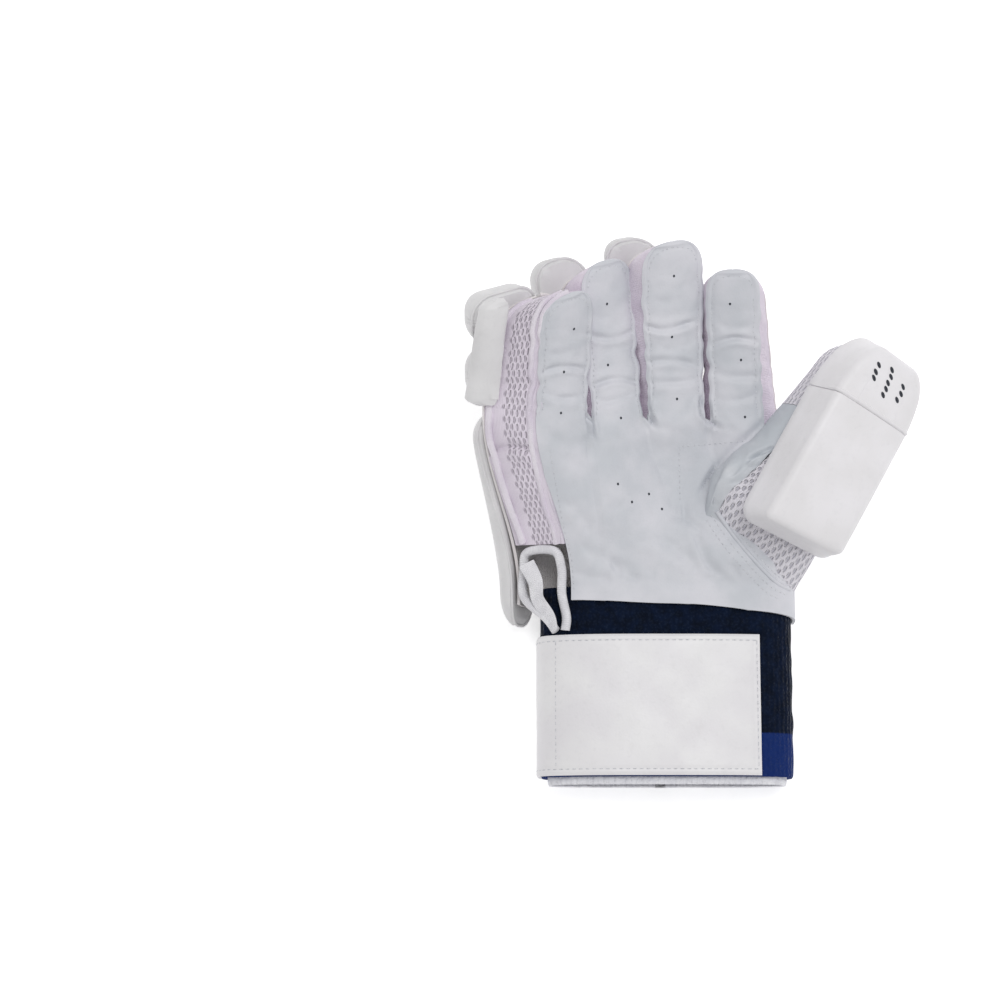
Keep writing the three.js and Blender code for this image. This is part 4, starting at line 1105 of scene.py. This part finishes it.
def cushion(name, at, length, width, lower, upper, levels, wrinkle=0.0, square=0):
    """Pad stacked in rings. With "square" at 1 or -1 its upper or lower end face stands upright."""
    rings = []
    for rise, inset in levels:
        radius = [max(size - inset, 0.35) for size in (lower, upper)]
        ring = oblong(length / 2 - inset, width / 2 - inset, *radius)
        high = np.full(len(ring), float(rise))
        if wrinkle:
            around = np.arange(len(ring)) / len(ring) * 2 * math.pi
            wave = np.sin(around * 17 + 1.3 * np.sin(around * 5)) + 0.6 * np.sin(around * 29 + 2)
            ring = ring * (1 + wrinkle * wave * bump_at(rise - 2.5, 4.5) / width)[:, None]
        if square:
            end = -square * (length / 2 - inset)
            stretch = (ring[:, 0] - end) / (length - 2 * inset)
            ring[:, 0] += stretch * (inset - min(inset, 0.1))
        rings.append(at(ring[:, 0], ring[:, 1], high))
    return stack(name, np.array(rings))


def roll_levels(depth, size, foot=0.28):
    edge = depth * ROLL_WELT
    levels = [(0, size * foot), (0, size * foot / 2), (0, 1.2), (edge * 0.35, 0.25), (edge * 0.8, 0)]
    for turn in np.linspace(6, 88, 16):
        turn = math.radians(turn)
        levels.append((mix(edge, depth, math.sin(turn)), size / 2 * (1 - math.cos(turn) ** ROLL_ROUNDNESS)))
    return levels


# Finger, place, start and end along it, widening, shift at the root and tip, and room under the roll
ROLLS = (
    (LITTLE, "tip", 0.58, 1.1, 8, 18, 18, 0.1), (LITTLE, "middle", 0.02, 0.54, 8, 18, 18, 0.1),
    (RING, "tip", 0.58, 1.13, 2, 4, 11, 0.1), (RING, "middle", 0.04, 0.55, 0, 2, 3, 0.1),
    (MIDDLE, "tip", 0.56, 1.07, 0, 0, 12, 0.1), (MIDDLE, "middle", 0.04, 0.53, 0, 0, 0, 0.1),
    (INDEX, "tip", 0.56, 1.02, 0, 0, 0, 0.1), (INDEX, "middle", 0.04, 0.53, 0, -1, 0, 0.1),
    (LITTLE, "hand", -1.2, -0.03, 6, 16, 16, 1.3), (RING, "hand", -0.5, -0.02, -1, 0, 0, 0.6),
    (MIDDLE, "hand", -0.5, -0.02, 0, 0, 0, 0.1), (INDEX, "hand", -0.5, -0.02, 0, 0, 0, 0.1),
)
WELT_RADIUS = 0.75
roll_vents, roll_seams = [], []


def roll_map(finger, start, end, root_shift, tip_shift, room):
    unit_length = HAND if start < 0 else finger.reach - TIP_SLANT
    length = (end - start) * unit_length

    def at(dx, across, rise):
        along = (start + end) / 2 * unit_length + dx
        thinning = 1 + np.minimum(along, 0) / HAND * CUFF_THINNING
        shift = mix(root_shift, tip_shift, dx / length + 0.5)
        point = place(finger, along, across - shift, -ROLL_SEAT - room - rise * thinning)
        point[..., 2] = np.maximum(point[..., 2], -SHIFT[2])
        return point
    return at, length


PUFF = {
    "use_pressure": True, "uniform_pressure_force": 3, "quality": 4, "mass": 0.15, "tension_stiffness": 25,
    "compression_stiffness": 25, "bending_stiffness": 0.5,
}
PUFF_FRAMES, PUFF_CAP = 14, 0.5


def puff(piece, cap):
    """Lets a pad swell as cloth over its filling, then holds each point within the cap, in mm."""
    before = np.empty(len(piece.data.vertices) * 3)
    piece.data.vertices.foreach_get("co", before)
    cloth = piece.modifiers.new("cloth", "CLOTH")
    for setting, value in PUFF.items():
        setattr(cloth.settings, setting, value)
    cloth.settings.effector_weights.gravity = 0
    cloth.collision_settings.use_collision = False
    cloth.collision_settings.use_self_collision = False
    cloth.point_cache.frame_end = PUFF_FRAMES
    for moment in range(1, PUFF_FRAMES + 1):
        bpy.context.scene.frame_set(moment)
    result = piece.evaluated_get(bpy.context.evaluated_depsgraph_get()).to_mesh()
    after = np.empty_like(before)
    result.vertices.foreach_get("co", after)
    move = (after - before).reshape(-1, 3)
    far = np.linalg.norm(move, axis=1, keepdims=True)
    move = move * np.minimum(1, cap / 1000 / np.maximum(far, 1e-9))
    piece.modifiers.clear()
    settled = before.reshape(-1, 3) + move
    settled[:, 2] = np.maximum(settled[:, 2], np.minimum(before.reshape(-1, 3)[:, 2], 0.0002))
    piece.data.vertices.foreach_set("co", settled.ravel())
    piece.data.update()
    bpy.context.scene.frame_set(1)


for finger, part, start, end, widen, root_shift, tip_shift, room in ROLLS:
    at, length = roll_map(finger, start, end, root_shift, tip_shift, room)
    width = ROLL_WIDTH + widen
    size = min(width, length)
    radius = size * ROLL_CORNER
    roll = cushion(f"roll_{finger.name}_{part}_pad", at, length, width, radius, radius,
                   roll_levels(ROLL_DEPTH, size), wrinkle=0.35)
    puff(roll, PUFF_CAP)
    finish_piece(roll, ROLL, f"roll_{finger.name}_{part}", fill=0.8)
    ring = oblong(length / 2 + 0.1, width / 2 + 0.1, radius, radius)
    welt = at(ring[:, 0], ring[:, 1], np.full(len(ring), ROLL_DEPTH * ROLL_WELT * 0.45))
    welt[:, 2] = np.maximum(welt[:, 2], WELT_RADIUS - SHIFT[2])
    roll_seams.append(tube(f"welt_{finger.name}_{part}", welt, WELT_RADIUS, 6, closed=True))
    for dx in (-0.18 * length, 0.18 * length):
        here, ahead = at(np.array([dx, dx + 1]), np.zeros(2), np.full(2, ROLL_DEPTH + 1.0))
        roll_vents.append((here, ahead - here, roll))


def join(name, pieces, look):
    """One object from several."""
    work = bmesh.new()
    for piece in pieces:
        work.from_mesh(piece.data)
    mesh = bpy.data.meshes.new(name)
    work.to_mesh(mesh)
    work.free()
    joined = bpy.data.objects.new(name, mesh)
    bpy.context.scene.collection.objects.link(joined)
    for piece in pieces:
        bpy.data.objects.remove(piece)
    return finish_piece(joined, look)


join("roll_welts", roll_seams, ROLL)
join("outer_piping", pipings, PIPING)

bar_from, bar_to = BAR_SPAN
bar_reach = LITTLE.reach - TIP_SLANT


def bar_at(dx, across, rise):
    along = (bar_from + bar_to) / 2 * bar_reach + dx
    depth = 1 - (across + BAR_WIDTH / 2) / DEPTH
    seat = side_reach(LITTLE, -1, along / bar_reach, depth) + CLEARANCE * 5
    return place(LITTLE, along, -seat - rise, -DEPTH * depth)


bar = cushion("side_bar_pad", bar_at, (bar_to - bar_from) * bar_reach, BAR_WIDTH, BAR_WIDTH * ROLL_CORNER,
              BAR_WIDTH * ROLL_CORNER, roll_levels(BAR_DEPTH, BAR_WIDTH), wrinkle=0.2)
finish_piece(bar, ROLL, "side_bar_little", fill=0.8)


# Thumb guard

GUARD_FROM, GUARD_SPLIT, GUARD_TO = (share * THUMB_LENGTH for share in (0.12, 0.7, 0.99))
GUARD_SEAT = 0.32 * THUMB_WIDTH + CLEARANCE * 2


def guard_map(start, end):
    def at(dx, across, rise):
        along = (start + end) / 2 + dx
        taper = mix(1, GUARD_TAPER, ease(GUARD_SPLIT, GUARD_TO, along))
        return bend(THUMB, along, across * taper, GUARD_SEAT + rise)
    return at


GUARD_EDGE, GUARD_CROWN = 4.6, 0.5


def guard_levels():
    """Sides that lean in, a rounded upper edge and a top that is slightly crowned."""
    slope, edge = (GUARD_WIDTH - GUARD_TOP) / 2, GUARD_EDGE
    levels = [(0, 6), (0, 0.8), (0.35, 0.25), (1.25, 0)]
    levels += [(GUARD_DEPTH * t, slope * t + 0.25 * math.sin(math.pi * t)) for t in (0.2, 0.38, 0.55, 0.68)]
    for turn in np.radians(np.linspace(0, 84, 9)):
        levels.append((GUARD_DEPTH - edge * (1 - math.sin(turn)), slope * 0.86 + edge * (1 - math.cos(turn))))
    top = levels[-1]
    for t in (0.12, 0.3, 0.55, 0.8, 0.97):
        levels.append((top[0] + GUARD_CROWN * math.sin(t * math.pi / 2), mix(top[1], GUARD_WIDTH / 2 - 1, t)))
    return levels


def guard_piece(name, node, start, end, lower, upper, square):
    length = end - start
    levels = [(rise, min(inset, length / 2 - 0.6)) for rise, inset in guard_levels()]
    piece = cushion(name, guard_map(start, end), length, GUARD_WIDTH, lower, upper, levels, square=square)
    return finish_piece(piece, GUARD, node, fill=1.0)


guard_base = guard_piece("guard_base_pad", "thumb_guard_base", GUARD_FROM, GUARD_SPLIT, 8, 1.5, 1)
guard_tip = guard_piece("guard_tip_pad", "thumb_guard_tip", GUARD_SPLIT, GUARD_TO, 1.5, 16, -1)


# Cuff

def cuff_grid(from_y, to_y, grow, rows, nap):
    angles = np.linspace(-90, 270, 241)[:-1]
    y = np.linspace(from_y, to_y, rows)[:, None]
    grid = cuff_point(angles[None, :], grow, y)
    outward = cuff_normal(angles)[None]
    hem = np.minimum(y - to_y, 3) / 3
    swell = nap * ripple(grid, 4.5, 12) - 0.7 * (1 - np.sqrt(np.clip(1 - (1 - hem) ** 2, 0, 1)))
    resting = (grid[..., 2] <= CUFF_FLOOR - grow + 0.05)
    return grid + outward * np.where(resting, np.minimum(swell, 0), swell)[..., None]


for name, node, look, thickness, hem_y, grow, nap in (
        ("band", "wristband", NAVY, TOWELLING, CUFF_END_Y, 0, 0.22),
        ("band_lining", "wrist_lining", WHITE_TOWEL, LINING, CUFF_END_Y - LINING_HEM,
         -TOWELLING - CLEARANCE, 0.12)):
    towel = cuff_grid(CUFF_TOP_Y - CLEARANCE, hem_y, grow, 90, nap)
    finish_piece(slab(name, towel, thickness, closed=True), look, node)


# Strap: rounded edges, a stitch line all round and a slight sag over the cuff

strap_angles = np.linspace(*STRAP_ANGLES, 200)
strap_rows = np.linspace(STRAP_TOP_Y, CUFF_END_Y + STRAP_INSET, 80)
strap_grid = cuff_point(strap_angles[None, :], CLEARANCE + STRAP_THICKNESS, strap_rows[:, None], 0)
arc = np.concatenate([[0], np.cumsum(np.linalg.norm(np.diff(strap_grid[0], axis=0), axis=1))])
end_gap = np.minimum(arc, arc[-1] - arc)[None, :]
row_gap = np.minimum(STRAP_TOP_Y - strap_rows, strap_rows - strap_rows[-1])[:, None]
edge_gap = np.minimum(end_gap, row_gap)
relief = (-0.75 * np.exp(-(edge_gap / 0.8) ** 2) - 0.3 * bump_at(edge_gap - 3.0, 0.6)
          + 0.18 * ripple(strap_grid, 26, 2) + 0.12 * bump_at(edge_gap - 1.7, 0.8))
on_floor = strap_grid[..., 2] < 0.05
relief = np.where(on_floor, 0, relief)
strap = slab("strap", strap_grid + cuff_normal(strap_angles)[None] * relief[..., None], STRAP_THICKNESS)
finish_piece(strap, STRAP, "wrist_strap")


# Slit binding and pull tab

def slit_edge(depth, share):
    return place(LITTLE, -share * HAND, -side_reach(LITTLE, -1, 0.0, depth), -DEPTH * depth)


def tape_path():
    inset = TAPE_RADIUS + CLEARANCE * 3

    def leg(share, t):
        front, rear = slit_edge(0.05, share), slit_edge(0.92, share)
        step = inset / np.linalg.norm(front - rear)
        lift = TAPE_LIFT * ease(SLIT_START, 1, share)
        return mix(front, rear, mix(step, 1 - step, t)) + cuff_normal(SLIT_ANGLE) * lift

    def down(angle, y):
        return cuff_point(angle, inset, y) + cuff_normal(angle) * CLEARANCE
    top = SLIT_START + (TAPE_RADIUS + CLEARANCE * 5) / HAND
    middle = mix(STRAP_TOP_Y, CUFF_TOP_Y - LEATHER_COVER, 0.5)
    end = STRAP_TOP_Y + CLEARANCE + TAPE_RADIUS
    front_leg, back_leg = TAPE_ANGLES
    return [down(front_leg, end), down(front_leg - 1, middle), leg(1.05, 0), leg(0.9, 0), leg(top, 0.15),
            leg(top, 0.85), leg(0.9, 1), leg(1.05, 1), down(back_leg + TAPE_BOW, middle), down(back_leg, end)]


finish_piece(tube("binding", curve(tape_path(), 160), TAPE_RADIUS * 1.3, 16), TAPE, "slit_binding")


def tab_path():
    lift = TAPE_RADIUS * 2 + TAB_THICKNESS + CLEARANCE * 4

    def above(share, t):
        return mix(slit_edge(0.0, share), slit_edge(1.0, share), t) + cuff_normal(SLIT_ANGLE) * lift
    middle = mix(STRAP_TOP_Y, CUFF_TOP_Y - LEATHER_COVER, 0.5)
    return [above(0.87, 0.68), above(0.97, 0.55), above(1.08, 0.5),
            cuff_point(TAPE_ANGLES[1], lift, middle),
            cuff_point(mix(*TAPE_ANGLES, 0.5), lift, STRAP_TOP_Y + CLEARANCE + TAB_WIDTH / 4)]


finish_piece(tube("tab", curve(tab_path(), 60), TAB_THICKNESS / 2, 16, width=TAB_WIDTH * 0.66,
                  twist=np.linspace(10, 75, 60)), TAPE, "pull_tab")


# Stitching

def row_on(points, tree):
    return settle(resample(points, 1.5), tree)


palm_tree = surface_of(palm)
seams = []
for finger in FINGERS:
    for side in (-1, 1):
        column = side * (1 - STITCH_EDGE / finger.half)
        row = front_surface(finger, np.linspace(0.02, 1, 40), np.zeros(40), np.full(40, column), 0.8)
        seams.append(row_on(row, palm_tree))
    turns = np.linspace(-80, 80, 40)
    straight = finger.reach - finger.half
    inner_half = finger.half - STITCH_EDGE
    rounding = inner_half * power(np.cos(np.radians(turns)), 2 / TIP_ROUNDNESS)
    sideways = inner_half * power(np.sin(np.radians(turns)), 2 / TIP_ROUNDNESS)
    seams.append(row_on(place(finger, straight + rounding, sideways, 2.0), palm_tree))
# Seam of the palm's patch and of its outer edge, in the picture
PALM_SEAMS = ((680, 500), (679, 447), (747, 441)), ((550, 450), (562, 520), (572, 560), (574, 590))
seams += [line_behind(corners, palm_tree, 60) for corners in PALM_SEAMS]
finish_piece(stitches("leather_thread", seams, 1.5, 1.2, 0.17), THREAD)

thumb_tree = surface_of(palm, thumb_face, thumb_net, gusset)
seam_line = curve([(x, y, 0) for x, y in THUMB_SEAM[3:-1]], 60)
points, _ = line_behind(seam_line[:, :2], thumb_tree, 90)
points = np.array([np.convolve(np.pad(points[:, k], 4, "edge"), np.ones(9) / 9, "valid") for k in range(3)]).T
finish_piece(tube("thumb_seam", points - [0, 0, 0.2], 1.1, 10), PALM)
rows = [line_behind(seam_line[:, :2] + shift, thumb_tree, 80) for shift in ((-5, 5), (-10, 10), (4, -4))]
finish_piece(stitches("thumb_thread", rows, 1.5, 1.2, 0.18), THREAD)

strap_tree = surface_of(strap)
inset = 3.0
seam_ends = STRAP_TOP_Y - inset, CUFF_END_Y + STRAP_INSET + inset
angles = np.linspace(STRAP_ANGLES[0] + 3, STRAP_ANGLES[1] - 3, 160)
strap_seams = [(angles, y) for y in seam_ends]
strap_seams += [(np.full(40, angle), np.linspace(*seam_ends, 40))
                for angle in (STRAP_ANGLES[0] + 2.6, 142, STRAP_ANGLES[1] - 2.4)]
seam_grow = CLEARANCE + STRAP_THICKNESS + 0.4
seams = [row_on(cuff_point(angles, seam_grow, y, 0), strap_tree) for angles, y in strap_seams]
finish_piece(stitches("strap_thread", seams, 2.1, 1.1, 0.2), THREAD)


# Vents of the leather and the guard, by their places in the picture, and the way their rows run

PALM_ROWS_RUN, GUARD_ROWS_RUN = np.array([0, 1.0, 0.2]), np.array([-0.5, 1.0, 0.0])
PALM_VENTS = (
    (574, 329), (564, 372), (561, 413), (607, 304), (608, 365), (621, 418), (674, 276), (672, 337), (677, 399),
    (730, 304), (741, 360), (745, 417), (618, 484), (632, 502), (649, 494), (662, 509),
)
spots, normals = zip(*[behind_picture(x, y, palm_tree) for x, y in PALM_VENTS])
finish_piece(vents("palm_vents", spots, normals, [PALM_ROWS_RUN] * len(spots), 1.2, 1.0), VENT_SHADE)

guard_tree = surface_of(guard_base, guard_tip)
across = np.linspace(-GUARD_WIDTH / 2 - 4, GUARD_WIDTH / 2 + 4, 90)
rise = 6 + (GUARD_DEPTH - 2) * np.clip(1.35 - (np.abs(across) / GUARD_WIDTH * 2) ** 4, 0, 1)
split_line = guard_map(GUARD_SPLIT, GUARD_SPLIT)(1.1, across, rise)
points, normals = settle(split_line, guard_tree)
sunk = 0.4 + 1.6 * ease(7, 0, np.minimum(across - across[0], across[-1] - across))
points = resample(points - normals * sunk[:, None], 0.8)
finish_piece(tube("guard_band", points, 1.0, 12), GUARD)

GUARD_VENTS = (
    (879, 365), (876, 372), (874, 378), (892, 370), (891, 377), (888, 383), (886, 389), (883, 395),
    (903, 387), (901, 394), (897, 400),
)
spots, normals = zip(*[behind_picture(x, y, guard_tree, 0.12) for x, y in GUARD_VENTS])
finish_piece(vents("guard_vents", spots, normals, [GUARD_ROWS_RUN] * len(spots), 2.8, 1.5), VENT_SHADE)

found = []
for here, way, roll in roll_vents:
    (spot,), (normal,) = settle([here], surface_of(roll))
    found.append((spot, normal, way))
finish_piece(vents("roll_vents", *zip(*found), 1.8, 1.8), VENT_SHADE)

# Floor, light and camera

floor_mesh = bpy.data.meshes.new("floor")
half = 3.0
corners = [(x * half, y * half, 0) for x, y in ((-1, -1), (1, -1), (1, 1), (-1, 1))]
floor_mesh.from_pydata(corners, [], [(0, 1, 2, 3)])
floor = bpy.data.objects.new("floor", floor_mesh)
bpy.context.scene.collection.objects.link(floor)
floor_paint = Paint("floor", Roughness=0.9, Emission_Color=(1.0, 1.0, 1.0, 1.0), Emission_Strength=0.45)
floor_paint.colour(floor_paint.blend(floor_paint.noise(700, 2.0), linear(250, 250, 250), linear(247, 247, 248)))
floor.data.materials.append(floor_paint.material)

world = bpy.data.worlds.new("studio")
bpy.context.scene.world = world
world.use_nodes = True
sky = world.node_tree.nodes["Background"]
sky.inputs["Color"].default_value = (1.0, 1.0, 1.0, 1.0)
sky.inputs["Strength"].default_value = 0.54


def lamp(name, spot, watts, size):
    """Square lamp that shines at the middle of the glove."""
    light = bpy.data.lights.new(name, "AREA")
    light.energy = watts
    light.size = size
    piece = bpy.data.objects.new(name, light)
    piece.location = spot
    piece.rotation_euler = (Vector((0, 0, 0.03)) - Vector(spot)).to_track_quat("-Z", "Y").to_euler()
    bpy.context.scene.collection.objects.link(piece)


lamp("key", (0.15, 0.3, 1.5), 8.5, 0.7)
lamp("fill", (1.2, -0.6, 0.9), 1.8, 1.0)

bpy.context.scene.view_settings.view_transform = "Standard"

camera_data = bpy.data.cameras.new("camera")
camera_data.sensor_width = 36
camera_data.sensor_fit = "HORIZONTAL"
camera_data.lens = 36 * DISTANCE / PIXEL / 1000
camera = bpy.data.objects.new("camera", camera_data)
camera.location = Vector((EYE + SHIFT) / 1000)
camera.rotation_euler = (math.pi / 2 - ELEVATION, 0, 0)
bpy.context.scene.collection.objects.link(camera)
bpy.context.scene.camera = camera
